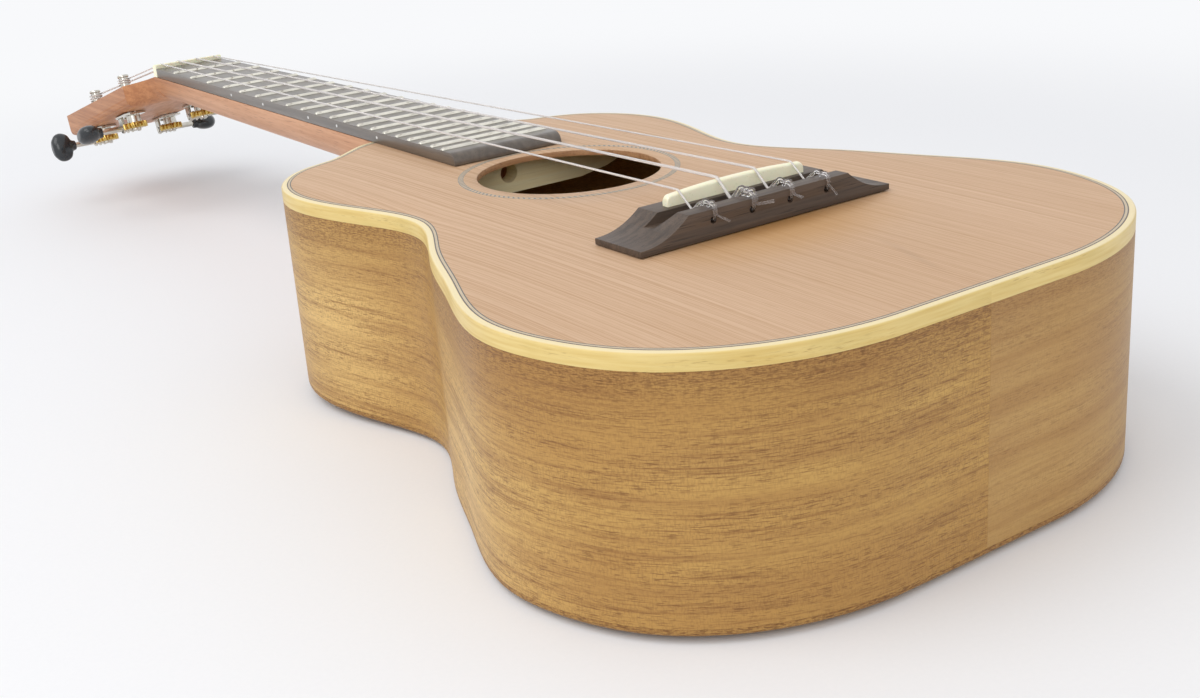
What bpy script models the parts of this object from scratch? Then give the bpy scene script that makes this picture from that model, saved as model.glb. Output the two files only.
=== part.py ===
"""A tenor ukulele lying on its back, modelled as the separate pieces it is built from.

Metres, +Z up. The tail faces -Y and the head +Y, the soundboard faces +Z, and the bass side is -X.
The origin is under the middle of the overall box, on the surface that the back rests on.
"""

import math

import bmesh
import bpy
import numpy as np
from mathutils import Matrix, Vector

# Clearances
SEAT_GAP = 0.0003
STRING_GAP = 0.0002
SHAFT_CLEARANCE = 0.0003

# Body. Stations are measured from the tail, and FROM_NECK distances from its other end.
BODY_LENGTH = 0.290
BODY_DEPTH = 0.0794
LOWER_BOUT_WIDTH = 0.2138
LOWER_BOUT_STATION = 0.072
WAIST_WIDTH = 0.1372
WAIST_FROM_NECK = 0.116
UPPER_BOUT_WIDTH = 0.1596
UPPER_BOUT_FROM_NECK = 0.0465
NECK_FLAT_WIDTH = 0.044
SOUNDBOARD_THICKNESS = 0.0022
BACK_THICKNESS = 0.0023
SIDE_THICKNESS = 0.0020
BINDING_THICKNESS = 0.0020
BINDING_HEIGHT = 0.0063
BINDING_ROUND = 0.0008
BACK_EDGE_ROUND = 0.0009
BACK_DISH_RADIUS = 3.70
BACK_LOW_STATION = 0.110
BACK_FLAT_RADIUS = 0.040
LINING_WIDTH = 0.0055
LINING_HEIGHT = 0.0090
SOUNDHOLE_RADIUS = 0.0319
SOUNDHOLE_FROM_NECK = 0.1035

# How the outline runs between its widest and narrowest stations, as shares of each stretch
TAIL_SHARES = ((0.469, 0.031), (0.870, 0.387), (0.971, 0.694))
LOWER_SHARES = ((0.326, 0.392), (0.650, 0.686))
UPPER_SHARES = ((0.518, 0.446),)
SHOULDER_SHARES = ((0.125, 0.418), (0.339, 0.680), (0.661, 0.835))
HALF_OUTLINE_STEPS = 36

# Blocks and braces
NECK_BLOCK_LENGTH = 0.024
NECK_BLOCK_WIDTH = 0.040
TAIL_BLOCK_LENGTH = 0.014
TAIL_BLOCK_WIDTH = 0.044
BRACE_THICKNESS = 0.007
TOP_BRACE_HEIGHT = 0.012
BACK_BRACE_HEIGHT = 0.010
BRACE_END_HEIGHT = 0.004
BRACE_HOLE_RADIUS = 0.0036
UPPER_BRACE_FROM_NECK = 0.0605
LOWER_BRACE_FROM_NECK = 0.1450
LOWER_BACK_BRACE_STATION = 0.095
UPPER_BACK_BRACE_FROM_NECK = 0.078
# How far along its half each point of a soundboard brace is, and how far its depth has fallen
BRACE_TAPER = ((0.45, 0.0), (0.62, 0.25), (0.80, 0.80), (1.0, 1.0))
BACK_BRACE_SHARES = (-1.0, -0.7, -0.4, 0.0, 0.4, 0.7, 1.0)
BACK_BRACE_CREST_SHARE = 0.6
BRIDGE_PLATE_THICKNESS = 0.0025
BRIDGE_PLATE_LENGTH = 0.118
BRIDGE_PLATE_WIDTH = 0.030

# Scale, fingerboard and frets
SCALE_LENGTH = 0.430
JOINT_FRET = 14
FRET_COUNT = 20
FINGERBOARD_THICKNESS = 0.0043
FINGERBOARD_NUT_WIDTH = 0.0354
FINGERBOARD_END_WIDTH = 0.0462
FINGERBOARD_PAST_LAST_FRET = 0.0095
FINGERBOARD_END_ROUND = 0.0037
FRET_CROWN_WIDTH = 0.0020
FRET_CROWN_HEIGHT = 0.0009
FRET_TANG_WIDTH = 0.0006
FRET_TANG_DEPTH = 0.0016
FRET_END_INSET = 0.0003
NUT_LENGTH = 0.0045
NUT_ACTION = 0.0012
NUT_ABOVE_STRING_BOTTOM = 0.0004
NUT_STRING_SPREAD = 0.0282
# The nut's top from its front to its back, as shares of its length along it and down from its crest
NUT_PROFILE = ((0.0, 0.08), (0.1, 0.0), (0.5, 0.06), (1.0, 0.25))
NUT_SEAT_SHARE = 0.35

# Neck and head
NECK_DEPTH_AT_NUT = 0.0148
NECK_DEPTH_AT_HEEL = 0.0170
HEEL_DEPTH = 0.0660
HEEL_LENGTH = 0.052
HEEL_SHARES = (0.0, 0.06, 0.14, 0.24, 0.36, 0.5, 0.7, 1.0)
HEEL_SWEEP = 2.6
# A section is round at 2 and square at high values
NECK_SQUARENESS = 2.2
HEEL_SQUARENESS_LOSS = 0.4
CREASE_SQUARENESS = 2.4
HEAD_SQUARENESS = 12.0
HEAD_TILT = math.radians(15.0)
HEAD_LENGTH = 0.1340
HEAD_WIDTH = 0.0570
HEAD_THICKNESS = 0.0120
HEAD_FLARE_LENGTH = 0.0200
# Along the flare, how far it has widened, and its squareness
HEAD_FLARE = ((0.3, 0.12, 2.8), (0.6, 0.42, 3.6), (0.85, 0.78, 5.0), (1.0, 1.0, 7.0))
HEAD_CORNER_RADIUS = 0.0045
HEAD_CORNER_ANGLES = (0.0, 35.0, 65.0, 90.0)
TRUSS_ROD_RADIUS = 0.0030
TRUSS_ROD_BELOW_TOP = 0.0070
TRUSS_ROD_IN_BODY = 0.0200
TRUSS_ROD_LENGTH = 0.2420
TRUSS_SOCKET_RADIUS = 0.0017
TRUSS_SOCKET_DEPTH = 0.0050

# Bridge and saddle
BRIDGE_LENGTH = 0.0970
BRIDGE_TAIL_TO_SADDLE = 0.0162
BRIDGE_WIDTH = 0.0216
BRIDGE_TIP_THICKNESS = 0.0018
TIE_BLOCK_HEIGHT = 0.0086
TIE_BLOCK_FOOT_WIDTH = 0.0089
TIE_BLOCK_TOP_WIDTH = 0.0052
TIE_BLOCK_LENGTH = 0.0620
TROUGH_FLOOR_HEIGHT = 0.0042
TROUGH_WIDTH = 0.0038
SADDLE_RIDGE_HEIGHT = 0.0075
WING_SWEEP = 2.2
WING_STEPS = 7
SADDLE_LENGTH = 0.0532
SADDLE_THICKNESS = 0.0026
SADDLE_SLOT_DEPTH = 0.0045
SADDLE_TOP_HEIGHT = 0.0119
SADDLE_TOP_FALL = 0.0011
SADDLE_END_ROUND = 0.0014
SADDLE_CROWN = 0.0009
SADDLE_SHARES = (0.0, 0.25, 0.5, 0.72, 0.92)
SADDLE_STRING_SPREAD = 0.0442
TIE_HOLE_RADIUS = 0.0009
TIE_HOLE_HEIGHT = 0.0054
TIE_LEG_OFFSET = 0.0013
TIE_LOOP_FORWARD = 0.0013
TIE_TAIL_LENGTH = 0.0030
TIE_UNDER_SHARE = 0.6
TIE_BACK_SHARES = (0.9, 0.6, 0.2)

# Tuners, in the head's own frame: x outwards, s along the head from its start, n out of its front
STRING_DIAMETERS = {1: 0.00060, 2: 0.00080, 3: 0.00095, 4: 0.00070}
TUNER_STATIONS = {1: 0.044, 2: 0.098, 3: 0.098, 4: 0.044}
TUNER_SIDES = {1: 1, 2: 1, 3: -1, 4: -1}
BUTTON_REST_ANGLES = {1: 20.0, 2: 12.0, 3: 84.0, 4: -14.0}
POST_FROM_CENTRE = 0.0190
POST_RADIUS = 0.0030
POST_WAIST_RADIUS = 0.0025
POST_HEIGHT = 0.0083
POST_HOLE_CLEARANCE = 0.0006
POST_STRING_HOLE_RADIUS = 0.0007
WINDING_TOP = 0.0062
WINDING_TURNS = 2.5
WINDING_SPACE = 0.0005
WINDING_STEPS_PER_TURN = 24
GEAR_TEETH = 14
GEAR_TIP_RADIUS = 0.0063
GEAR_ROOT_RADIUS = 0.0048
GEAR_PITCH_RADIUS = 0.0056
GEAR_THICKNESS = 0.0030
GEAR_TIP_WIDTH = 0.0008
GEAR_ROOT_WIDTH = 0.00124
GEAR_COLLAR_RADIUS = 0.0037
GEAR_SCREW_RADIUS = 0.0026
GEAR_SCREW_HEIGHT = 0.0013
WORM_CENTRE_DISTANCE = 0.0084
WORM_CORE_RADIUS = 0.0019
WORM_THREAD_HEIGHT = 0.00085
WORM_THREAD_WIDTH = 0.0013
WORM_TURNS = 2.5
WORM_DROP = 0.0068
SHAFT_RADIUS = 0.0015
SHAFT_IN_BUTTON = 0.0080
PLATE_THICKNESS = 0.0010
PLATE_WIDTH = 0.0114
PLATE_BEHIND_POST = 0.0068
PLATE_PAST_WORM = 0.0062
EAR_THICKNESS = 0.0012
EAR_HALF_WIDTH = 0.0026
PLATE_SCREW_HOLE_RADIUS = 0.0008
PLATE_HOLE_FROM_INNER_END = 0.00144
PLATE_HOLE_FROM_OUTER_END = 0.0020
PLATE_CORNER_CUT = 0.00228
BUTTON_FROM_POST = 0.0160
BUTTON_LENGTH = 0.0130
BUTTON_WIDTH = 0.0160
BUTTON_THICKNESS = 0.0090
BUTTON_SIDES = 14
# Along the button, and how wide and thick it is there
BUTTON_SHAPE = (
    (0.00, 0.32, 0.62),
    (0.10, 0.36, 0.64),
    (0.22, 0.66, 0.74),
    (0.38, 0.92, 0.93),
    (0.55, 1.00, 1.00),
    (0.75, 0.93, 0.95),
    (0.90, 0.68, 0.74),
    (0.98, 0.36, 0.42),
)

# Stations and heights that follow from the driving dimensions
WAIST_STATION = BODY_LENGTH - WAIST_FROM_NECK
UPPER_BOUT_STATION = BODY_LENGTH - UPPER_BOUT_FROM_NECK
SOUNDHOLE_STATION = BODY_LENGTH - SOUNDHOLE_FROM_NECK
UPPER_BRACE_STATION = BODY_LENGTH - UPPER_BRACE_FROM_NECK
LOWER_BRACE_STATION = BODY_LENGTH - LOWER_BRACE_FROM_NECK
UPPER_BACK_BRACE_STATION = BODY_LENGTH - UPPER_BACK_BRACE_FROM_NECK
TRUSS_ROD_START_STATION = BODY_LENGTH - TRUSS_ROD_IN_BODY
LOWER_HALF = LOWER_BOUT_WIDTH / 2
WAIST_HALF = WAIST_WIDTH / 2
UPPER_HALF = UPPER_BOUT_WIDTH / 2
NECK_FLAT_HALF = NECK_FLAT_WIDTH / 2
SADDLE_STATION = BODY_LENGTH - SCALE_LENGTH / 2 ** (JOINT_FRET / 12)
NUT_STATION = SADDLE_STATION + SCALE_LENGTH
LAST_FRET_STATION = SADDLE_STATION + SCALE_LENGTH / 2 ** (FRET_COUNT / 12)
FINGERBOARD_END_STATION = LAST_FRET_STATION - FINGERBOARD_PAST_LAST_FRET
HEAD_START_STATION = NUT_STATION + NUT_LENGTH + SEAT_GAP
OVERALL_LENGTH = HEAD_START_STATION + HEAD_LENGTH * math.cos(HEAD_TILT)
FINGERBOARD_BOTTOM = BODY_DEPTH + SEAT_GAP
FINGERBOARD_TOP = FINGERBOARD_BOTTOM + FINGERBOARD_THICKNESS
BRIDGE_BOTTOM = BODY_DEPTH + SEAT_GAP
BRIDGE_TAIL_STATION = SADDLE_STATION - BRIDGE_TAIL_TO_SADDLE
TIE_BLOCK_FRONT_STATION = BRIDGE_TAIL_STATION + TIE_BLOCK_TOP_WIDTH
TROUGH_START_STATION = BRIDGE_TAIL_STATION + TIE_BLOCK_FOOT_WIDTH
NUT_SLOT_HEIGHT = FINGERBOARD_TOP + NUT_ACTION
BINDING_BOTTOM = BODY_DEPTH - BINDING_HEIGHT
SOUNDBOARD_BOTTOM = BODY_DEPTH - SOUNDBOARD_THICKNESS
LINING_INSET = SIDE_THICKNESS + SEAT_GAP
INNER_INSET = LINING_INSET + LINING_WIDTH
TRUSS_ROD_HEIGHT = BODY_DEPTH - TRUSS_ROD_BELOW_TOP
WORM_LEAD = 2 * math.pi * GEAR_PITCH_RADIUS / GEAR_TEETH
WORM_LEVEL = -(HEAD_THICKNESS + WORM_DROP)
PLATE_TOP = -(HEAD_THICKNESS + SEAT_GAP)
PLATE_BOTTOM = PLATE_TOP - PLATE_THICKNESS
EAR_FROM_POST = WORM_TURNS * WORM_LEAD / 2 + 2 * SEAT_GAP

CIRCLE = 2 * math.pi
PLANE_TURNS = {
    "top": (0.0, 0.0, 0.0),
    "front": (math.pi / 2, 0.0, 0.0),
    "side": (math.pi / 2, 0.0, math.pi / 2),
}


def from_tail(station):
    """The world Y of a distance measured from the tail."""
    return station - OVERALL_LENGTH / 2


def clear_scene():
    for thing in list(bpy.data.objects):
        bpy.data.objects.remove(thing)
    collection = bpy.data.collections.new("tenor_ukulele")
    bpy.context.scene.collection.children.link(collection)
    return collection


def plain_material(name, color, roughness, metallic=0.0, alpha=1.0):
    material = bpy.data.materials.new(name)
    material.use_nodes = True
    shader = material.node_tree.nodes["Principled BSDF"]
    shader.inputs["Base Color"].default_value = (*color, 1.0)
    shader.inputs["Roughness"].default_value = roughness
    shader.inputs["Metallic"].default_value = metallic
    shader.inputs["Alpha"].default_value = alpha
    material.diffuse_color = (*color, 1.0)
    return material


# Mesh tools


def new_mesh(name, bm):
    bmesh.ops.recalc_face_normals(bm, faces=bm.faces)
    mesh = bpy.data.meshes.new(name)
    bm.to_mesh(mesh)
    bm.free()
    return mesh


def evaluated_mesh(thing):
    """The mesh that an object's curve or modifiers make, welded, in the object's own axes."""
    bpy.context.scene.collection.objects.link(thing)
    bpy.context.view_layer.update()
    graph = bpy.context.evaluated_depsgraph_get()
    raw = bpy.data.meshes.new_from_object(thing.evaluated_get(graph))
    bm = bmesh.new()
    bm.from_mesh(raw)
    bmesh.ops.remove_doubles(bm, verts=bm.verts, dist=1e-6)
    name = thing.name
    bpy.data.objects.remove(thing)
    return new_mesh(name, bm)


def outline_mesh(name, loops, thickness, plane="top"):
    """A flat outline, with any further loops as holes, given a thickness about its plane."""
    curve = bpy.data.curves.new(name, "CURVE")
    curve.dimensions = "2D"
    curve.fill_mode = "BOTH"
    curve.extrude = thickness / 2
    for loop in loops:
        spline = curve.splines.new("POLY")
        spline.points.add(len(loop) - 1)
        for point, (u, v) in zip(spline.points, loop):
            point.co = (u, v, 0.0, 1.0)
        spline.use_cyclic_u = True
    mesh = evaluated_mesh(bpy.data.objects.new(name, curve))
    turn = Matrix.Identity(4)
    for axis, angle in zip("XYZ", PLANE_TURNS[plane]):
        turn = Matrix.Rotation(angle, 4, axis) @ turn
    mesh.transform(turn)
    return mesh


def tube_mesh(name, points, diameter):
    """A round cord along its points, with flat ends."""
    curve = bpy.data.curves.new(name, "CURVE")
    curve.dimensions = "3D"
    curve.bevel_depth = diameter / 2
    curve.bevel_resolution = 1
    curve.use_fill_caps = True
    spline = curve.splines.new("POLY")
    spline.points.add(len(points) - 1)
    for point, place in zip(spline.points, points):
        point.co = (*place, 1.0)
    return evaluated_mesh(bpy.data.objects.new(name, curve))


def turned_mesh(name, profile, steps):
    """A profile of (radius, height) points, from top to bottom, turned round its own Z axis."""
    bm = bmesh.new()
    points = [bm.verts.new((radius, 0.0, height)) for radius, height in profile]
    for upper, lower in zip(points, points[1:]):
        bm.edges.new((upper, lower))
    mesh = bpy.data.meshes.new(name)
    bm.to_mesh(mesh)
    bm.free()
    thing = bpy.data.objects.new(name, mesh)
    screw = thing.modifiers.new("turn", "SCREW")
    screw.steps = steps
    screw.render_steps = steps
    screw.use_merge_vertices = True
    screw.merge_threshold = 1e-5
    return evaluated_mesh(thing)


def loft_mesh(name, sections, closed=False):
    """A solid through sections of equal point counts, closed into a ring or capped at both ends."""
    bm = bmesh.new()
    rings = [[bm.verts.new(point) for point in section] for section in sections]
    followers = rings[1:] + rings[:1] if closed else rings[1:]
    for ring, follower in zip(rings, followers):
        for index in range(len(ring)):
            after = (index + 1) % len(ring)
            bm.faces.new((ring[index], ring[after], follower[after], follower[index]))
    if not closed:
        bm.faces.new(rings[0])
        bm.faces.new(rings[-1])
    return new_mesh(name, bm)


def box_mesh(name, low, high):
    bm = bmesh.new()
    size = [top - bottom for bottom, top in zip(low, high)]
    centre = [(top + bottom) / 2 for bottom, top in zip(low, high)]
    matrix = Matrix.Translation(centre) @ Matrix.Diagonal((*size, 1.0))
    bmesh.ops.create_cube(bm, size=1.0, matrix=matrix)
    return new_mesh(name, bm)


def cylinder_mesh(name, start, end, radius, segments=16):
    bm = bmesh.new()
    span = Vector(end) - Vector(start)
    turn = span.to_track_quat("Z", "Y").to_matrix().to_4x4()
    bmesh.ops.create_cone(
        bm,
        cap_ends=True,
        segments=segments,
        radius1=radius,
        radius2=radius,
        depth=span.length,
        matrix=Matrix.Translation((Vector(start) + Vector(end)) / 2) @ turn,
    )
    return new_mesh(name, bm)


def combined(mesh, tool, operation):
    """The mesh with the tool's volume taken away or added."""
    base = bpy.data.objects.new(mesh.name, mesh)
    other = bpy.data.objects.new("tool", tool)
    bpy.context.scene.collection.objects.link(other)
    modifier = base.modifiers.new("shape", "BOOLEAN")
    modifier.operation = operation
    modifier.object = other
    result = evaluated_mesh(base)
    bpy.data.objects.remove(other)
    return result


def cut(mesh, *tools):
    for tool in tools:
        mesh = combined(mesh, tool, "DIFFERENCE")
    return mesh


def joined(mesh, *tools):
    for tool in tools:
        mesh = combined(mesh, tool, "UNION")
    return mesh


def circle_points(x, y, radius, count):
    angles = [CIRCLE * index / count for index in range(count)]
    return [(x + radius * math.cos(angle), y + radius * math.sin(angle)) for angle in angles]


class Builder:
    """Puts finished meshes in the collection, each as its own named object."""

    def __init__(self, collection):
        self.collection = collection

    def add(self, name, mesh, material, parent=None, place=(0.0, 0.0, 0.0), turn=(0.0, 0.0, 0.0)):
        mesh.shade_smooth()
        mesh.set_sharp_from_angle(angle=math.radians(35))
        mesh.materials.clear()
        mesh.materials.append(material)
        thing = bpy.data.objects.new(name, mesh)
        thing.location = place
        thing.rotation_euler = turn
        thing.parent = parent
        self.collection.objects.link(thing)
        return thing

    def frame(self, name, parent=None, place=(0.0, 0.0, 0.0), turn=(0.0, 0.0, 0.0)):
        empty = bpy.data.objects.new(name, None)
        empty.location = place
        empty.rotation_euler = turn
        empty.parent = parent
        empty.empty_display_size = 0.01
        self.collection.objects.link(empty)
        return empty


# The body's outline


def smooth_through(knots, start_slope, end_slope, count):
    """Evenly spread points of the smoothest curve through the knots, with given directions at its ends."""
    knots = np.array(knots)
    steps = np.linalg.norm(np.diff(knots, axis=0), axis=1)
    lengths = np.concatenate([[0.0], np.cumsum(steps)])
    system = np.eye(len(knots))
    right = np.zeros_like(knots)
    right[0] = start_slope
    right[-1] = end_slope
    for index in range(1, len(knots) - 1):
        before, after = steps[index - 1], steps[index]
        system[index, index - 1 : index + 2] = after, 2 * (before + after), before
        rise_before = (knots[index] - knots[index - 1]) * after / before
        rise_after = (knots[index + 1] - knots[index]) * before / after
        right[index] = 3 * (rise_before + rise_after)
    slopes = np.linalg.solve(system, right)
    places = np.linspace(0.0, lengths[-1], count)
    spans = np.clip(np.searchsorted(lengths, places, side="right") - 1, 0, len(steps) - 1)
    width = steps[spans][:, None]
    share = ((places - lengths[spans]) / steps[spans])[:, None]
    start, end = knots[spans], knots[spans + 1]
    leave, arrive = slopes[spans] * width, slopes[spans + 1] * width
    bend = share * (1 - share)
    return (
        start * (1 + 2 * share) * (1 - share) ** 2
        + end * share**2 * (3 - 2 * share)
        + leave * bend * (1 - share)
        - arrive * bend * share
    )


def between(start, end, shares):
    width, length = end[0] - start[0], end[1] - start[1]
    return [(start[0] + width * u, start[1] + length * v) for u, v in shares]


def half_outline():
    """Half widths and stations of the body's edge, from the tail's centre to the neck's centre."""
    tail = (0.0, 0.0)
    lower = (LOWER_HALF, LOWER_BOUT_STATION)
    waist = (WAIST_HALF, WAIST_STATION)
    upper = (UPPER_HALF, UPPER_BOUT_STATION)
    neck = (NECK_FLAT_HALF, BODY_LENGTH)
    knots = [tail, *between(tail, lower, TAIL_SHARES), lower, *between(lower, waist, LOWER_SHARES), waist]
    knots += [*between(waist, upper, UPPER_SHARES), upper, *between(upper, neck, SHOULDER_SHARES)]
    knots += [neck, (0.0, BODY_LENGTH)]
    points = smooth_through(knots, (1.0, 0.0), (-1.0, 0.0), HALF_OUTLINE_STEPS + 1)
    points[:, 1] = np.clip(points[:, 1], 0.0, BODY_LENGTH)
    points[:, 0] = np.maximum(points[:, 0], 0.0)
    return points


HALF_OUTLINE = half_outline()


def half_outline_inset(inset):
    """The half outline moved inwards by a distance, square to the edge."""
    ahead = np.roll(HALF_OUTLINE, -1, axis=0) - HALF_OUTLINE
    behind = HALF_OUTLINE - np.roll(HALF_OUTLINE, 1, axis=0)
    along = ahead + behind
    along[0] = (1.0, 0.0)
    along[-1] = (-1.0, 0.0)
    along /= np.linalg.norm(along, axis=1)[:, None]
    inwards = np.stack([-along[:, 1], along[:, 0]], axis=1)
    moved = HALF_OUTLINE + inset * inwards
    moved[:, 0] = np.maximum(moved[:, 0], 0.0)
    return moved


def full_outline(inset):
    """World (x, y) points all round the body's edge, moved inwards by a distance."""
    half = half_outline_inset(inset)
    mirrored = half[-2:0:-1] * (-1.0, 1.0)
    points = np.concatenate([half, mirrored])
    return [(float(x), from_tail(float(station))) for x, station in points]


def half_width_at(station, inset):
    """How far the edge, moved inwards, lies from the centre line at a station."""
    half = half_outline_inset(inset)
    return float(np.interp(station, half[:, 1], half[:, 0]))


def dish_height(x, y):
    """Height of the back's outer face over the surface it rests on."""
    distance = math.hypot(x, y - from_tail(BACK_LOW_STATION))
    return max(0.0, (distance**2 - BACK_FLAT_RADIUS**2) / (2 * BACK_DISH_RADIUS))


def inside_back(x, y):
    return dish_height(x, y) + BACK_THICKNESS + SEAT_GAP


# The body's pieces


def soundboard_mesh():
    edge = full_outline(BINDING_THICKNESS + SEAT_GAP)
    hole = circle_points(0.0, from_tail(SOUNDHOLE_STATION), SOUNDHOLE_RADIUS, 40)
    mesh = outline_mesh("soundboard", [edge, hole], SOUNDBOARD_THICKNESS)
    mesh.transform(Matrix.Translation((0.0, 0.0, BODY_DEPTH - SOUNDBOARD_THICKNESS / 2)))
    return mesh


def back_ring(share, height_above_dish, inset=0.0):
    """A ring on the back, from its flat middle at share 0 to its edge at share 1."""
    centre = from_tail(BACK_LOW_STATION)
    ring = []
    for x, y in full_outline(inset):
        reach = BACK_FLAT_RADIUS / math.hypot(x, y - centre)
        flat_x, flat_y = x * reach, centre + (y - centre) * reach
        ring_x, ring_y = flat_x + (x - flat_x) * share, flat_y + (y - flat_y) * share
        ring.append((ring_x, ring_y, dish_height(ring_x, ring_y) + height_above_dish))
    return ring


def back_mesh():
    sections = [back_ring(0.0, 0.0), back_ring(0.5, 0.0)]
    sections.append(back_ring(1.0, 0.0, inset=BACK_EDGE_ROUND))
    sections.append(back_ring(1.0, BACK_EDGE_ROUND))
    sections.append(back_ring(1.0, BACK_THICKNESS))
    sections += [back_ring(0.5, BACK_THICKNESS), back_ring(0.0, BACK_THICKNESS)]
    return loft_mesh("back_plate", sections)


def band_mesh(name, profile, side=0):
    """A strip round the body, swept from (inset, height) points, all round or on one side of the seam.

    A height may be a function of x and y.
    """
    rows = []
    for inset, height in profile:
        if side:
            half = half_outline_inset(inset)
            half[:, 0] = np.maximum(half[:, 0], SEAT_GAP / 2)
            points = [(side * x, from_tail(station)) for x, station in half.tolist()]
        else:
            points = full_outline(inset)
        rows.append([(x, y, height(x, y) if callable(height) else height) for x, y in points])
    return loft_mesh(name, list(zip(*rows)), closed=not side)


def binding_mesh():
    profile = [
        (0.0, BINDING_BOTTOM),
        (0.0, BODY_DEPTH - BINDING_ROUND),
        (BINDING_ROUND * 0.3, BODY_DEPTH - BINDING_ROUND * 0.3),
        (BINDING_ROUND, BODY_DEPTH),
        (BINDING_THICKNESS, BODY_DEPTH),
        (BINDING_THICKNESS, BINDING_BOTTOM),
    ]
    return band_mesh("top_binding", profile)


def side_mesh(name, side):
    top = BINDING_BOTTOM - SEAT_GAP
    profile = [
        (0.0, inside_back),
        (0.0, top),
        (SIDE_THICKNESS, top),
        (SIDE_THICKNESS, inside_back),
    ]
    return band_mesh(name, profile, side)


def top_lining_mesh():
    top = SOUNDBOARD_BOTTOM - SEAT_GAP
    profile = [
        (LINING_INSET, top),
        (INNER_INSET, top),
        (INNER_INSET, top - LINING_HEIGHT / 3),
        (LINING_INSET, top - LINING_HEIGHT),
    ]
    return band_mesh("top_lining", profile)


def back_lining_mesh():
    def shoulder(x, y):
        return inside_back(x, y) + LINING_HEIGHT / 3

    def crest(x, y):
        return inside_back(x, y) + LINING_HEIGHT

    profile = [
        (LINING_INSET, inside_back),
        (LINING_INSET, crest),
        (INNER_INSET, shoulder),
        (INNER_INSET, inside_back),
    ]
    return band_mesh("back_lining", profile)


def block_mesh(name, end_station, direction, length, width):
    """An end block, notched over both linings. It runs from the end wall into the body."""
    outer = end_station + direction * (SIDE_THICKNESS + 2 * SEAT_GAP)
    step = end_station + direction * (INNER_INSET + 2 * SEAT_GAP)
    inner = step + direction * length
    low_outer = inside_back(width / 2, from_tail(outer)) + LINING_HEIGHT + SEAT_GAP
    low = inside_back(width / 2, from_tail(step))
    high = SOUNDBOARD_BOTTOM - SEAT_GAP
    high_outer = high - LINING_HEIGHT - SEAT_GAP
    outline = [(outer, low_outer), (outer, high_outer), (step, high_outer), (step, high)]
    outline += [(inner, high), (inner, low), (step, low), (step, low_outer)]
    loop = [(from_tail(station), height) for station, height in outline]
    return outline_mesh(name, [loop], width, "side")


def brace_faces(station):
    """The stations of a brace's two faces, and how far it reaches to each side."""
    near, far = station - BRACE_THICKNESS / 2, station + BRACE_THICKNESS / 2
    reach = min(half_width_at(near, INNER_INSET), half_width_at(far, INNER_INSET)) - SEAT_GAP
    return near, far, reach


def top_brace_mesh(name, station):
    reach = brace_faces(station)[2]
    top = SOUNDBOARD_BOTTOM - SEAT_GAP
    deep, thin = top - TOP_BRACE_HEIGHT, top - BRACE_END_HEIGHT
    right = [(reach * share, deep + (thin - deep) * fall) for share, fall in BRACE_TAPER]
    left = [(-x, height) for x, height in right]
    loop = [(reach, top), *reversed(right), *left, (-reach, top)]
    mesh = outline_mesh(name, [loop], BRACE_THICKNESS, "front")
    mesh.transform(Matrix.Translation((0.0, from_tail(station), 0.0)))
    return mesh


def upper_brace_mesh():
    """A brace with a hole, through which the truss rod's socket is reached."""
    brace = top_brace_mesh("upper_brace", UPPER_BRACE_STATION)
    y = from_tail(UPPER_BRACE_STATION)
    start = (0.0, y - BRACE_THICKNESS, TRUSS_ROD_HEIGHT)
    end = (0.0, y + BRACE_THICKNESS, TRUSS_ROD_HEIGHT)
    return cut(brace, cylinder_mesh("hole", start, end, BRACE_HOLE_RADIUS))


def back_brace_mesh(name, station):
    near, far, reach = brace_faces(station)
    centre = from_tail(BACK_LOW_STATION)
    highest_y = max((from_tail(near), from_tail(far)), key=lambda y: abs(y - centre))
    foot = [(reach * share, inside_back(reach * share, highest_y)) for share in BACK_BRACE_SHARES]
    middle = inside_back(0.0, highest_y) + BACK_BRACE_HEIGHT
    crest = [(reach, foot[-1][1] + BRACE_END_HEIGHT), (reach * BACK_BRACE_CREST_SHARE, middle)]
    crest += [(-x, height) for x, height in reversed(crest)]
    mesh = outline_mesh(name, [foot + crest], BRACE_THICKNESS, "front")
    mesh.transform(Matrix.Translation((0.0, from_tail(station), 0.0)))
    return mesh


def bridge_plate_mesh():
    top = SOUNDBOARD_BOTTOM - SEAT_GAP
    middle = from_tail(BRIDGE_TAIL_STATION + BRIDGE_WIDTH / 2)
    half, half_length = BRIDGE_PLATE_WIDTH / 2, BRIDGE_PLATE_LENGTH / 2
    low = (-half_length, middle - half, top - BRIDGE_PLATE_THICKNESS)
    return box_mesh("bridge_plate", low, (half_length, middle + half, top))


def truss_channel_mesh():
    """The bore for the truss rod, from inside the neck block to past the rod's far end."""
    start = BODY_LENGTH - SIDE_THICKNESS - INNER_INSET - NECK_BLOCK_LENGTH - LINING_WIDTH
    end = TRUSS_ROD_START_STATION + TRUSS_ROD_LENGTH + SEAT_GAP
    low, high = (0.0, from_tail(start), TRUSS_ROD_HEIGHT), (0.0, from_tail(end), TRUSS_ROD_HEIGHT)
    return cylinder_mesh("channel", low, high, TRUSS_ROD_RADIUS + SEAT_GAP)


def truss_rod_mesh():
    start = from_tail(TRUSS_ROD_START_STATION)
    end = start + TRUSS_ROD_LENGTH
    low, high = (0.0, start, TRUSS_ROD_HEIGHT), (0.0, end, TRUSS_ROD_HEIGHT)
    rod = cylinder_mesh("truss_rod", low, high, TRUSS_ROD_RADIUS, 12)
    mouth = (0.0, start - TRUSS_SOCKET_DEPTH, TRUSS_ROD_HEIGHT)
    bottom = (0.0, start + TRUSS_SOCKET_DEPTH, TRUSS_ROD_HEIGHT)
    return cut(rod, cylinder_mesh("socket", mouth, bottom, TRUSS_SOCKET_RADIUS, 6))


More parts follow.
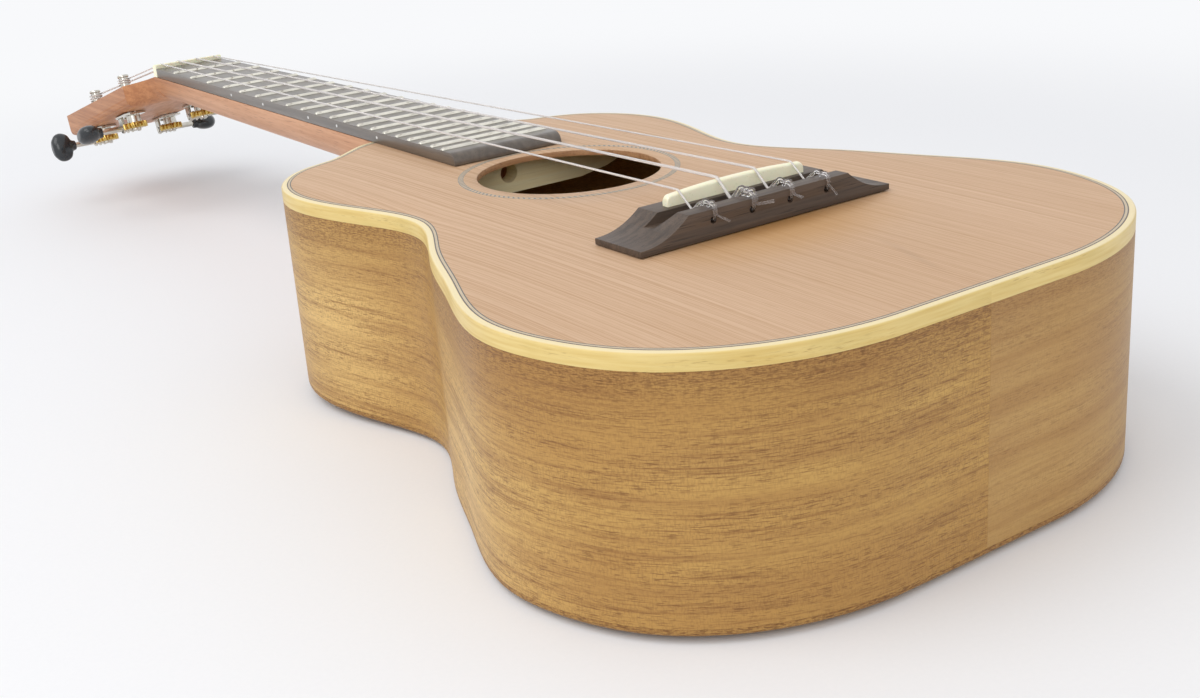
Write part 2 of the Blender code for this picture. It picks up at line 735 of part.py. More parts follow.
def build_body(builder, woods):
    builder.add("soundboard", soundboard_mesh(), woods["cedar"])
    builder.add("back_plate", back_mesh(), woods["side_wood"])
    channel = truss_channel_mesh()
    builder.add("side_bass", cut(side_mesh("side_bass", -1), channel), woods["side_wood"])
    builder.add("side_treble", cut(side_mesh("side_treble", 1), channel), woods["side_wood"])
    builder.add("top_binding", cut(binding_mesh(), channel), woods["maple"])
    builder.add("top_lining", cut(top_lining_mesh(), channel), woods["spruce"])
    builder.add("back_lining", back_lining_mesh(), woods["spruce"])
    neck_block = block_mesh("neck_block", BODY_LENGTH, -1, NECK_BLOCK_LENGTH, NECK_BLOCK_WIDTH)
    builder.add("neck_block", cut(neck_block, channel), woods["spruce"])
    tail_block = block_mesh("tail_block", tail_wall_station(), 1, TAIL_BLOCK_LENGTH, TAIL_BLOCK_WIDTH)
    builder.add("tail_block", tail_block, woods["spruce"])
    builder.add("upper_brace", upper_brace_mesh(), woods["spruce"])
    builder.add("lower_brace", top_brace_mesh("lower_brace", LOWER_BRACE_STATION), woods["spruce"])
    back_braces = {
        "back_brace_lower": LOWER_BACK_BRACE_STATION,
        "back_brace_upper": UPPER_BACK_BRACE_STATION,
    }
    for name, station in back_braces.items():
        builder.add(name, back_brace_mesh(name, station), woods["spruce"])
    builder.add("bridge_plate", bridge_plate_mesh(), woods["spruce"])
    builder.add("truss_rod", truss_rod_mesh(), woods["steel"])


def tail_wall_station():
    """How far the tail's edge has curved in where the tail block's corners are."""
    tail = HALF_OUTLINE[: HALF_OUTLINE_STEPS // 3]
    return float(np.interp(TAIL_BLOCK_WIDTH / 2, tail[:, 0], tail[:, 1]))


# Neck, fingerboard, frets and nut


def fingerboard_half_width(station):
    share = (NUT_STATION - station) / (NUT_STATION - FINGERBOARD_END_STATION)
    return (FINGERBOARD_NUT_WIDTH + (FINGERBOARD_END_WIDTH - FINGERBOARD_NUT_WIDTH) * share) / 2


def head_point(x, s, n):
    """World place of a point given across the head, along it from its start, and out of its front."""
    y = from_tail(HEAD_START_STATION) + s * math.cos(HEAD_TILT) + n * math.sin(HEAD_TILT)
    return (x, y, BODY_DEPTH - s * math.sin(HEAD_TILT) + n * math.cos(HEAD_TILT))


def round_section(half_width, depth, squareness, steps=6):
    """(x, depth) points from the right top corner, round the underside, to the left top corner."""
    right = []
    for index in range(steps + 1):
        angle = math.pi / 2 * index / steps
        across = half_width * max(0.0, math.cos(angle)) ** (2 / squareness)
        right.append((across, depth * math.sin(angle) ** (2 / squareness)))
    left = [(-x, down) for x, down in reversed(right[:-1])]
    return right + left


def neck_mesh():
    sections = []
    heel_start = BODY_LENGTH + SEAT_GAP
    for share in HEEL_SHARES:
        station = heel_start + HEEL_LENGTH * share
        swell = (1 - share) ** HEEL_SWEEP
        depth = NECK_DEPTH_AT_HEEL + (HEEL_DEPTH - NECK_DEPTH_AT_HEEL) * swell
        squareness = NECK_SQUARENESS - HEEL_SQUARENESS_LOSS * swell
        ring = round_section(fingerboard_half_width(station), depth, squareness)
        sections.append([(x, from_tail(station), BODY_DEPTH - down) for x, down in ring])
    nut_half = FINGERBOARD_NUT_WIDTH / 2
    ring = round_section(nut_half, NECK_DEPTH_AT_NUT, NECK_SQUARENESS)
    sections.append([(x, from_tail(NUT_STATION - NUT_LENGTH), BODY_DEPTH - down) for x, down in ring])
    ring = round_section(nut_half, NECK_DEPTH_AT_NUT, CREASE_SQUARENESS)
    crease_y, slope = from_tail(HEAD_START_STATION), math.tan(HEAD_TILT / 2)
    sections.append([(x, crease_y - down * slope, BODY_DEPTH - down) for x, down in ring])
    flare = HEAD_WIDTH / 2 - nut_half
    for share, widen, squareness in HEAD_FLARE:
        depth = HEAD_THICKNESS + (NECK_DEPTH_AT_NUT - HEAD_THICKNESS) * (1 - share) ** 2
        ring = round_section(nut_half + flare * widen, depth, squareness)
        sections.append([head_point(x, HEAD_FLARE_LENGTH * share, -down) for x, down in ring])
    for angle in HEAD_CORNER_ANGLES:
        turn = math.radians(angle)
        half_width = HEAD_WIDTH / 2 - HEAD_CORNER_RADIUS * (1 - math.cos(turn))
        s = HEAD_LENGTH - HEAD_CORNER_RADIUS * (1 - math.sin(turn))
        ring = round_section(half_width, HEAD_THICKNESS, HEAD_SQUARENESS)
        sections.append([head_point(x, s, -down) for x, down in ring])
    neck = loft_mesh("neck", sections)
    for number, station in TUNER_STATIONS.items():
        x = TUNER_SIDES[number] * POST_FROM_CENTRE
        low = head_point(x, station, -2 * HEAD_THICKNESS)
        high = head_point(x, station, HEAD_THICKNESS)
        neck = cut(neck, cylinder_mesh("post_hole", low, high, POST_RADIUS + POST_HOLE_CLEARANCE))
    return cut(neck, truss_channel_mesh())


def fret_station(number):
    return SADDLE_STATION + SCALE_LENGTH / 2 ** (number / 12)


def fingerboard_section(station, height):
    half = fingerboard_half_width(station)
    y = from_tail(station)
    low, high = FINGERBOARD_BOTTOM, FINGERBOARD_BOTTOM + height
    return [(-half, y, low), (half, y, low), (half, y, high), (-half, y, high)]


def fingerboard_mesh():
    flat = FINGERBOARD_THICKNESS - FINGERBOARD_END_ROUND
    sections = []
    for angle in (0.0, 22.5, 45.0, 67.5, 90.0):
        turn = math.radians(angle)
        station = FINGERBOARD_END_STATION + FINGERBOARD_END_ROUND * (1 - math.cos(turn))
        sections.append(fingerboard_section(station, flat + FINGERBOARD_END_ROUND * math.sin(turn)))
    sections.append(fingerboard_section(NUT_STATION - SEAT_GAP, FINGERBOARD_THICKNESS))
    board = loft_mesh("fingerboard", sections)
    slot_half = FRET_TANG_WIDTH / 2 + SEAT_GAP / 2
    slot_floor = FINGERBOARD_TOP - FRET_TANG_DEPTH - SEAT_GAP
    slots = bmesh.new()
    for number in range(1, FRET_COUNT + 1):
        y = from_tail(fret_station(number))
        centre = (0.0, y, slot_floor + FINGERBOARD_THICKNESS / 2)
        size = (FINGERBOARD_END_WIDTH * 1.2, 2 * slot_half, FINGERBOARD_THICKNESS)
        matrix = Matrix.Translation(centre) @ Matrix.Diagonal((*size, 1.0))
        bmesh.ops.create_cube(slots, size=1.0, matrix=matrix)
    return cut(board, new_mesh("slots", slots))


def fret_mesh(number):
    """A rounded crown over a tang, which stands in its slot."""
    seat = FINGERBOARD_TOP + SEAT_GAP / 2
    tang = FRET_TANG_WIDTH / 2
    crown = []
    for index in range(6):
        angle = math.pi * index / 5
        across = FRET_CROWN_WIDTH / 2 * math.cos(angle)
        crown.append((across, seat + FRET_CROWN_HEIGHT * math.sin(angle)))
    foot = FINGERBOARD_TOP - FRET_TANG_DEPTH
    loop = crown + [(-tang, seat), (-tang, foot), (tang, foot), (tang, seat)]
    width = 2 * (fingerboard_half_width(fret_station(number)) - FRET_END_INSET)
    mesh = outline_mesh(f"fret_{number:02d}", [loop], width, "side")
    mesh.transform(Matrix.Translation((0.0, from_tail(fret_station(number)), 0.0)))
    return mesh


def string_x(number, spread):
    """Strings are numbered from the treble side, and spread evenly about the centre line."""
    return spread / 2 - spread / 3 * (number - 1)


def nut_mesh():
    start, end = from_tail(NUT_STATION), from_tail(NUT_STATION + NUT_LENGTH)
    crest = NUT_SLOT_HEIGHT + STRING_DIAMETERS[3] / 2 + NUT_ABOVE_STRING_BOTTOM
    top = [(start + NUT_LENGTH * along, crest - NUT_LENGTH * down) for along, down in NUT_PROFILE]
    outline = [(start, FINGERBOARD_BOTTOM), (end, FINGERBOARD_BOTTOM), *reversed(top)]
    mesh = outline_mesh("nut", [outline], FINGERBOARD_NUT_WIDTH, "side")
    seat_end = start + NUT_LENGTH * NUT_SEAT_SHARE
    slope_low = NUT_SLOT_HEIGHT - math.tan(HEAD_TILT) * NUT_LENGTH
    for number, diameter in STRING_DIAMETERS.items():
        x = string_x(number, NUT_STRING_SPREAD)
        half = diameter / 2 + STRING_GAP
        low = (x - half, start - NUT_LENGTH, NUT_SLOT_HEIGHT)
        mesh = cut(mesh, box_mesh("slot", low, (x + half, end + NUT_LENGTH, crest + NUT_LENGTH)))
        wedge = [(seat_end, NUT_SLOT_HEIGHT + STRING_GAP / 2), (end + STRING_GAP, slope_low)]
        wedge += [(end + STRING_GAP, crest + STRING_GAP), (seat_end, crest + STRING_GAP)]
        ramp = outline_mesh("ramp", [wedge], diameter + 5 * STRING_GAP, "side")
        ramp.transform(Matrix.Translation((x, 0.0, 0.0)))
        mesh = cut(mesh, ramp)
    return mesh


def build_neck(builder, woods):
    builder.add("neck", neck_mesh(), woods["neck_wood"])
    builder.add("fingerboard", fingerboard_mesh(), woods["dark_wood"])
    for number in range(1, FRET_COUNT + 1):
        builder.add(f"fret_{number:02d}", fret_mesh(number), woods["nickel"])
    builder.add("nut", nut_mesh(), woods["bone"])


# Bridge, saddle and strings


def saddle_top(x):
    return BRIDGE_BOTTOM + SADDLE_TOP_HEIGHT - SADDLE_TOP_FALL * (2 * x / SADDLE_LENGTH) ** 2


def bridge_mesh():
    half, crest = BRIDGE_LENGTH / 2, TIE_BLOCK_LENGTH / 2
    right = []
    for index in range(WING_STEPS + 1):
        share = index / WING_STEPS
        rise = (TIE_BLOCK_HEIGHT - BRIDGE_TIP_THICKNESS) * (1 - share) ** WING_SWEEP
        right.append((crest + (half - crest) * share, BRIDGE_BOTTOM + BRIDGE_TIP_THICKNESS + rise))
    left = [(-x, height) for x, height in reversed(right)]
    loop = [(-half, BRIDGE_BOTTOM), (half, BRIDGE_BOTTOM), *reversed(right), *reversed(left)]
    bridge = outline_mesh("bridge", [loop], BRIDGE_WIDTH, "front")
    tail = from_tail(BRIDGE_TAIL_STATION)
    bridge.transform(Matrix.Translation((0.0, tail + BRIDGE_WIDTH / 2, 0.0)))
    crest_height, above = BRIDGE_BOTTOM + TIE_BLOCK_HEIGHT, BRIDGE_BOTTOM + 2 * TIE_BLOCK_HEIGHT
    tie_front = from_tail(TIE_BLOCK_FRONT_STATION)
    trough_start = from_tail(TROUGH_START_STATION)
    trough_end = trough_start + TROUGH_WIDTH
    floor = BRIDGE_BOTTOM + TROUGH_FLOOR_HEIGHT
    section = [(tie_front, above), (tie_front, crest_height)]
    section += [(trough_start, floor), (trough_end, floor), (trough_end, above)]
    trough = outline_mesh("trough", [section], 2 * BRIDGE_LENGTH, "side")
    ridge = BRIDGE_BOTTOM + SADDLE_RIDGE_HEIGHT
    ridge_low = (-half, trough_start + TROUGH_WIDTH / 2, ridge)
    over_ridge = box_mesh("over_ridge", ridge_low, (half, tail + 2 * BRIDGE_WIDTH, above))
    slot_half = SADDLE_THICKNESS / 2 + SEAT_GAP
    saddle_y = from_tail(SADDLE_STATION)
    slot_reach = SADDLE_LENGTH / 2 + SEAT_GAP
    slot_low = (-slot_reach, saddle_y - slot_half, ridge - SADDLE_SLOT_DEPTH)
    slot = box_mesh("slot", slot_low, (slot_reach, saddle_y + slot_half, above))
    bridge = cut(bridge, trough, over_ridge, slot)
    for number in STRING_DIAMETERS:
        x = string_x(number, SADDLE_STRING_SPREAD)
        height = BRIDGE_BOTTOM + TIE_HOLE_HEIGHT
        start = (x, tail - TIE_BLOCK_FOOT_WIDTH, height)
        end = (x, trough_start + TROUGH_WIDTH / 2, height)
        bridge = cut(bridge, cylinder_mesh("tie_hole", start, end, TIE_HOLE_RADIUS, 12))
    return bridge


def saddle_mesh():
    """Sections across the saddle, rounded on top, from its bass end to its treble end."""
    half = SADDLE_LENGTH / 2
    bottom = BRIDGE_BOTTOM + SADDLE_RIDGE_HEIGHT - SADDLE_SLOT_DEPTH + SEAT_GAP
    y, half_thickness = from_tail(SADDLE_STATION), SADDLE_THICKNESS / 2
    right = [(half * share, saddle_top(half * share)) for share in SADDLE_SHARES]
    right += [(half - SADDLE_END_ROUND * 0.3, saddle_top(half) - SADDLE_END_ROUND * 0.3)]
    right += [(half, saddle_top(half) - SADDLE_END_ROUND)]
    left = [(-x, top) for x, top in reversed(right[1:])]
    sections = []
    for x, top in left + right:
        crown = [(1.0, SADDLE_CROWN), (0.55, SADDLE_CROWN * 0.2), (0.0, 0.0)]
        crown += [(-share, fall) for share, fall in reversed(crown[:2])]
        ring = [(x, y - half_thickness, bottom), (x, y + half_thickness, bottom)]
        ring += [(x, y + half_thickness * share, top - fall) for share, fall in crown]
        sections.append(ring)
    return loft_mesh("saddle", sections)


def tie_route(number):
    """From the string's free end, through its hitch on the tie block, to the top of the saddle."""
    radius = STRING_DIAMETERS[number] / 2
    x = string_x(number, SADDLE_STRING_SPREAD)
    leg = TIE_LEG_OFFSET + radius
    lift = radius + STRING_GAP
    back, front = from_tail(BRIDGE_TAIL_STATION), from_tail(TIE_BLOCK_FRONT_STATION)
    foot = from_tail(TROUGH_START_STATION)
    top, hole = BRIDGE_BOTTOM + TIE_BLOCK_HEIGHT, BRIDGE_BOTTOM + TIE_HOLE_HEIGHT
    floor = BRIDGE_BOTTOM + TROUGH_FLOOR_HEIGHT
    front_face = Vector((foot - front, floor - top))
    hole_front = front + front_face.x * (hole - top) / front_face.y
    front_face.normalize()
    under_y, under_z = foot + TIE_LOOP_FORWARD, floor + lift + STRING_GAP
    over_block = [(front, top + lift), (front - lift * front_face.y, top + lift * front_face.x)]
    over_block.append((under_y, under_z + radius))
    corner = lift * math.sqrt(0.5)
    back_heights = (top - lift / 2, (top + hole) / 2, hole + radius)
    route = [
        (x - leg, back - TIE_TAIL_LENGTH, top),
        (x - leg, back - TIE_TAIL_LENGTH / 2, top + lift),
        *((x - leg, y, z) for y, z in over_block),
        (x - leg * TIE_UNDER_SHARE, under_y, under_z),
        (x + leg * TIE_UNDER_SHARE, under_y, under_z),
        *((x + leg, y, z) for y, z in reversed(over_block)),
        (x + leg, back, top + lift),
        (x + leg, back - corner, top + corner),
        *((x + leg * share, back - lift, z) for share, z in zip(TIE_BACK_SHARES, back_heights)),
        (x, back - lift / 2, hole),
        (x, hole_front + STRING_GAP / 2, hole),
    ]
    crest = saddle_top(x) + lift
    saddle_y, half_saddle = from_tail(SADDLE_STATION), SADDLE_THICKNESS / 2
    route.append((x, saddle_y - half_saddle, crest - half_saddle / 2))
    route.append((x, saddle_y - half_saddle / 2, crest - half_saddle / 10))
    route.append((x, saddle_y, crest))
    return route


def winding_route(number):
    """From the nut to the post and round it, down towards the head."""
    radius = STRING_DIAMETERS[number] / 2
    side = TUNER_SIDES[number]
    nut_x = string_x(number, NUT_STRING_SPREAD)
    centre_x, centre_s = side * POST_FROM_CENTRE, TUNER_STATIONS[number]
    coil_radius = POST_WAIST_RADIUS + radius + STRING_GAP
    away_x, away_s = -side * (nut_x - centre_x), -centre_s
    reach = math.hypot(away_x, away_s)
    first = math.atan2(away_s, away_x) + math.acos(coil_radius / reach)
    pitch = 2 * radius + WINDING_SPACE
    coil = []
    for index in range(round(WINDING_STEPS_PER_TURN * WINDING_TURNS) + 1):
        turns = index / WINDING_STEPS_PER_TURN
        angle = first + CIRCLE * turns
        across = centre_x - side * coil_radius * math.cos(angle)
        along = centre_s + coil_radius * math.sin(angle)
        coil.append(head_point(across, along, WINDING_TOP - pitch * turns))
    start = from_tail(NUT_STATION)
    seat = NUT_SLOT_HEIGHT + radius + STRING_GAP
    return [(nut_x, start, seat), (nut_x, start + NUT_LENGTH * NUT_SEAT_SHARE, seat)] + coil


def least_gap(points, diameter):
    """The least distance that a cord keeps from itself, over stretches more than three diameters apart."""
    places = [Vector(points[0])]
    for start, end in zip(points, points[1:]):
        start, end = Vector(start), Vector(end)
        pieces = max(1, min(40, round((end - start).length / (diameter / 2))))
        places += [start.lerp(end, (index + 1) / pieces) for index in range(pieces)]
    places = np.array([tuple(place) for place in places])
    lengths = np.concatenate([[0.0], np.cumsum(np.linalg.norm(np.diff(places, axis=0), axis=1))])
    least = math.inf
    for place, length in zip(places, lengths):
        far = np.abs(lengths - length) > 4 * diameter
        if far.any():
            least = min(least, float(np.linalg.norm(places[far] - place, axis=1).min()) - diameter)
    return least


def build_bridge_and_strings(builder, woods):
    builder.add("bridge", bridge_mesh(), woods["dark_wood"])
    builder.add("saddle", saddle_mesh(), woods["bone"])
    for number, diameter in STRING_DIAMETERS.items():
        route = tie_route(number) + winding_route(number)
        print(f"string_{number}: least gap to itself {least_gap(route, diameter) * 1000:.2f} mm")
        builder.add(f"string_{number}", tube_mesh(f"string_{number}", route, diameter), woods["nylon"])


# Tuners


def mirrored(mesh, side):
    """Turns a treble side piece into a bass side one."""
    if side < 0:
        mesh.transform(Matrix.Diagonal((-1.0, 1.0, 1.0, 1.0)))
        mesh.flip_normals()
    return mesh


def gear_mesh():
    """Fourteen teeth, slanted to follow the worm's thread."""
    half_tip = GEAR_TIP_WIDTH / 2 / GEAR_TIP_RADIUS
    half_root = GEAR_ROOT_WIDTH / 2 / GEAR_ROOT_RADIUS
    slant = WORM_LEAD / (CIRCLE * (WORM_CENTRE_DISTANCE - GEAR_PITCH_RADIUS)) / GEAR_PITCH_RADIUS
    sections = []
    for height in (-GEAR_THICKNESS / 2, GEAR_THICKNESS / 2):
        ring = []
        for tooth in range(GEAR_TEETH):
            middle = math.pi / 2 + CIRCLE * tooth / GEAR_TEETH + slant * height
            corners = ((GEAR_ROOT_RADIUS, -half_root), (GEAR_TIP_RADIUS, -half_tip))
            corners += ((GEAR_TIP_RADIUS, half_tip), (GEAR_ROOT_RADIUS, half_root))
            for radius, turn in corners:
                angle = middle + turn
                ring.append((radius * math.cos(angle), radius * math.sin(angle), WORM_LEVEL + height))
        sections.append(ring)
    return loft_mesh("gear", sections)


def post_mesh(side):
    """The string post with its gear, turned about the post's own axis."""
    gear_top = WORM_LEVEL + GEAR_THICKNESS / 2
    gear_bottom = WORM_LEVEL - GEAR_THICKNESS / 2
    screw_bottom = gear_bottom - GEAR_SCREW_HEIGHT
    flare = POST_RADIUS - POST_WAIST_RADIUS
    overlap = GEAR_THICKNESS / 4
    profile = [
        (0.0, POST_HEIGHT),
        (POST_RADIUS - flare, POST_HEIGHT),
        (POST_RADIUS, POST_HEIGHT - flare),
        (POST_RADIUS, POST_HEIGHT - 2 * flare),
        (POST_WAIST_RADIUS, POST_HEIGHT - 3 * flare),
        (POST_WAIST_RADIUS, 3 * flare),
        (POST_RADIUS, 2 * flare),
        (POST_RADIUS, PLATE_BOTTOM - SHAFT_CLEARANCE),
        (GEAR_COLLAR_RADIUS, PLATE_BOTTOM - SHAFT_CLEARANCE),
        (GEAR_COLLAR_RADIUS, gear_top - overlap),
        (GEAR_SCREW_RADIUS, gear_bottom + overlap),
        (GEAR_SCREW_RADIUS, screw_bottom + GEAR_SCREW_HEIGHT / 2),
        (GEAR_SCREW_RADIUS * 0.6, screw_bottom),
        (0.0, screw_bottom),
    ]
    post = joined(turned_mesh("string_post", profile, 12), gear_mesh())
    level = WINDING_TOP - WINDING_SPACE
    start, end = (-2 * POST_RADIUS, 0.0, level), (2 * POST_RADIUS, 0.0, level)
    post = cut(post, cylinder_mesh("string_hole", start, end, POST_STRING_HOLE_RADIUS, 8))
    return mirrored(post, side)


def worm_radius(x, angle):
    """The worm's radius at a place along it and an angle from the side that meets the gear."""
    turns = (x - WORM_LEAD / 2) / WORM_LEAD - angle / CIRCLE
    offset = abs(turns - round(turns)) * WORM_LEAD
    ridge = math.cos(math.pi * offset / WORM_THREAD_WIDTH) if offset < WORM_THREAD_WIDTH / 2 else 0.0
    end_distance = WORM_TURNS * WORM_LEAD / 2 - abs(x)
    fade = min(1.0, max(0.0, end_distance / (WORM_THREAD_WIDTH / 2)))
    return WORM_CORE_RADIUS + WORM_THREAD_HEIGHT * ridge * fade


def worm_ring(x, radius_at, count=10):
    ring = []
    for index in range(count):
        angle = CIRCLE * index / count
        radius = radius_at(x, angle)
        ring.append((x, -radius * math.cos(angle), -radius * math.sin(angle)))
    return ring


def worm_mesh(side):
    """The shaft that carries the worm between the plate's ears and the button on its outer end."""

    def shaft(x, angle):
        return SHAFT_RADIUS

    reach = WORM_TURNS * WORM_LEAD / 2
    inner_end = -(EAR_FROM_POST + EAR_THICKNESS + SEAT_GAP)
    outer_end = BUTTON_FROM_POST + SHAFT_IN_BUTTON
    steps = round(8 * WORM_TURNS)
    rings = [worm_ring(inner_end, shaft), worm_ring(-reach, shaft)]
    for index in range(steps + 1):
        rings.append(worm_ring(-reach + 2 * reach * index / steps, worm_radius))
    rings += [worm_ring(reach, shaft), worm_ring(outer_end, shaft)]
    return mirrored(loft_mesh("worm_shaft", rings), side)


def button_mesh(side):
    """An oval button, bored for the shaft."""
    rings = []
    for share, wide, thick in BUTTON_SHAPE:
        ring = []
        for index in range(BUTTON_SIDES):
            angle = CIRCLE * index / BUTTON_SIDES
            across = BUTTON_WIDTH / 2 * wide * math.cos(angle)
            ring.append((BUTTON_LENGTH * share, across, BUTTON_THICKNESS / 2 * thick * math.sin(angle)))
        rings.append(ring)
    button = loft_mesh("tuner_button", rings)
    bore_end = SHAFT_IN_BUTTON + SEAT_GAP
    start, end = (-BUTTON_LENGTH, 0.0, 0.0), (bore_end, 0.0, 0.0)
    bore = cylinder_mesh("bore", start, end, SHAFT_RADIUS + SEAT_GAP, 12)
    button = cut(button, bore)
    button.transform(Matrix.Translation((BUTTON_FROM_POST, 0.0, 0.0)))
    return mirrored(button, side)


def plate_mesh(side):
    """The plate under the head, with two ears that hold the worm's shaft."""
    half = PLATE_WIDTH / 2
    low, high = -PLATE_BEHIND_POST, WORM_CENTRE_DISTANCE + PLATE_PAST_WORM
    corner = PLATE_CORNER_CUT
    loop = [(-half, low + corner), (-half + corner, low), (half - corner, low), (half, low + corner)]
    loop += [(half, high - corner), (half - corner, high), (-half + corner, high), (-half, high - corner)]
    holes = [circle_points(0.0, 0.0, POST_RADIUS + SHAFT_CLEARANCE, 12)]
    for s in (low + PLATE_HOLE_FROM_INNER_END, high - PLATE_HOLE_FROM_OUTER_END):
        holes.append(circle_points(0.0, s, PLATE_SCREW_HOLE_RADIUS, 8))
    plate = outline_mesh("tuner_plate", [loop, *holes], PLATE_THICKNESS)
    plate.transform(Matrix.Translation((0.0, 0.0, PLATE_TOP - PLATE_THICKNESS / 2)))
    near, far = WORM_CENTRE_DISTANCE - EAR_HALF_WIDTH, WORM_CENTRE_DISTANCE + EAR_HALF_WIDTH
    top = PLATE_TOP - PLATE_THICKNESS / 2
    ear = [(far, top), (near, top)]
    for index in range(7):
        angle = math.pi + math.pi * index / 6
        along = WORM_CENTRE_DISTANCE + EAR_HALF_WIDTH * math.cos(angle)
        ear.append((along, WORM_LEVEL + EAR_HALF_WIDTH * math.sin(angle)))
    hole = circle_points(WORM_CENTRE_DISTANCE, WORM_LEVEL, SHAFT_RADIUS + SHAFT_CLEARANCE, 12)
    for place in (-1, 1):
        piece = outline_mesh("ear", [ear, hole], EAR_THICKNESS, "side")
        offset = place * (EAR_FROM_POST + EAR_THICKNESS / 2)
        piece.transform(Matrix.Translation((offset, 0.0, 0.0)))
        plate = joined(plate, piece)
    return mirrored(plate, side)


def build_tuners(builder, woods):
    head_start = (0.0, from_tail(HEAD_START_STATION), BODY_DEPTH)
    head = builder.frame("head_frame", None, head_start, (-HEAD_TILT, 0.0, 0.0))
    for number, side in TUNER_SIDES.items():
        place = (side * POST_FROM_CENTRE, TUNER_STATIONS[number], 0.0)
        tuner = builder.frame(f"tuner_{number}_frame", head, place)
        key_place = (0.0, WORM_CENTRE_DISTANCE, WORM_LEVEL)
        rest = (math.radians(BUTTON_REST_ANGLES[number]), 0.0, 0.0)
        black = woods["black_plastic"]
        builder.add(f"tuner_plate_{number}", plate_mesh(side), woods["chrome"], tuner)
        builder.add(f"string_post_{number}", post_mesh(side), woods["brass"], tuner)
        builder.add(f"worm_shaft_{number}", worm_mesh(side), woods["chrome"], tuner, key_place)
        builder.add(f"tuner_button_{number}", button_mesh(side), black, tuner, key_place, rest)


def main():
    builder = Builder(clear_scene())
    finishes = {
        "cedar": plain_material("cedar", (0.66, 0.42, 0.27), 0.55),
        "side_wood": plain_material("side_wood", (0.40, 0.22, 0.09), 0.45),
        "maple": plain_material("maple", (0.80, 0.63, 0.30), 0.40),
        "spruce": plain_material("spruce", (0.74, 0.58, 0.34), 0.65),
        "neck_wood": plain_material("neck_wood", (0.52, 0.25, 0.13), 0.45),
        "dark_wood": plain_material("dark_wood", (0.06, 0.045, 0.04), 0.55),
        "bone": plain_material("bone", (0.86, 0.82, 0.66), 0.35),
        "nickel": plain_material("nickel", (0.72, 0.70, 0.64), 0.25, 1.0),
        "chrome": plain_material("chrome", (0.78, 0.78, 0.78), 0.15, 1.0),
        "brass": plain_material("brass", (0.72, 0.55, 0.22), 0.25, 1.0),
        "steel": plain_material("steel", (0.45, 0.45, 0.46), 0.40, 1.0),
        "black_plastic": plain_material("black_plastic", (0.012, 0.014, 0.018), 0.25),
        "nylon": plain_material("nylon", (0.85, 0.85, 0.87), 0.25, alpha=0.75),
    }
    build_body(builder, finishes)
    build_neck(builder, finishes)
    build_bridge_and_strings(builder, finishes)
    build_tuners(builder, finishes)


main()
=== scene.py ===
"""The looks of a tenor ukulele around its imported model.

Metres, +Z up. The tail faces -Y, the head +Y, the soundboard +Z, and the bass side is -X.
"""

import math

import bmesh
import bpy
import numpy as np
from mathutils import Matrix, Vector


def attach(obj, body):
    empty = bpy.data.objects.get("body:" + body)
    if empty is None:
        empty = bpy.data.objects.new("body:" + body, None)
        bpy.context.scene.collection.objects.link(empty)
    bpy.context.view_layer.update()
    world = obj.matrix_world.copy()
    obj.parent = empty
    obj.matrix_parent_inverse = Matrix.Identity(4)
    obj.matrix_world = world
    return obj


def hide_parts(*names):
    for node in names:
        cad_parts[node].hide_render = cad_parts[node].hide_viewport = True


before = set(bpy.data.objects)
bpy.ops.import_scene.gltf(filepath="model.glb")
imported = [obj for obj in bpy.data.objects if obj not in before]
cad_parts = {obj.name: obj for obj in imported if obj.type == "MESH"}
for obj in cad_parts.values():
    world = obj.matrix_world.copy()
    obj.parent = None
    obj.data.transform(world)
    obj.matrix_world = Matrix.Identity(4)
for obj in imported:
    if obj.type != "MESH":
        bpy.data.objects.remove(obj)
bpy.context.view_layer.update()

CIRCLE = 2 * math.pi
QUARTER = math.pi / 2

# The photograph's frame and the camera that was fitted to it
PHOTO_WIDTH = 1200
CAMERA_FOCAL_PIXELS = 1548.4
CAMERA_PLACE = (-0.29268, -0.57968, 0.20259)
CAMERA_YAW = math.radians(34.611)
CAMERA_PITCH = math.radians(-19.872)
CAMERA_ROLL = math.radians(-4.238)
SENSOR_WIDTH = 36.0

# Body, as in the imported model. The shares place further points of its edge between the named ones
SEAT_GAP = 0.0003
STRING_GAP = 0.0002
BODY_LENGTH = 0.290
BODY_DEPTH = 0.0794
LOWER_BOUT = (0.1069, 0.072)
WAIST = (0.0686, 0.174)
UPPER_BOUT = (0.0798, 0.2435)
NECK_END = (0.022, 0.290)
OUTLINE_SHARES = (
    ((0.469, 0.031), (0.870, 0.387), (0.971, 0.694)),
    ((0.326, 0.392), (0.650, 0.686)),
    ((0.518, 0.446),),
    ((0.125, 0.418), (0.339, 0.680), (0.661, 0.835)),
)
HALF_STEPS = 150
SOUNDBOARD_THICKNESS = 0.0022
BACK_THICKNESS = 0.0023
SIDE_THICKNESS = 0.0020
BINDING_THICKNESS = 0.0020
BINDING_HEIGHT = 0.0063
BINDING_ROUND = 0.0007
BACK_EDGE_ROUND = 0.0014
BACK_DISH_RADIUS = 3.70
BACK_LOW_STATION = 0.110
BACK_FLAT_RADIUS = 0.040
SOUNDHOLE_RADIUS = 0.0319
SOUNDHOLE_STATION = 0.1865

# Inlays, each as inset or radius where it starts and ends
INLAY_RISE = 0.00003
PURFLING_BANDS = (("dark", 0.0021, 0.0024), ("light", 0.0024, 0.0031), ("dark", 0.0031, 0.0034))
ROSETTE_BANDS = (("grey", 0.0366, 0.03675), ("pale", 0.03675, 0.0383), ("grey", 0.0383, 0.03845))
ROSETTE_DASHES = 124
ROSETTE_DASH_WIDTH = 0.0007
ROSETTE_DASH_SLANT = 0.0005

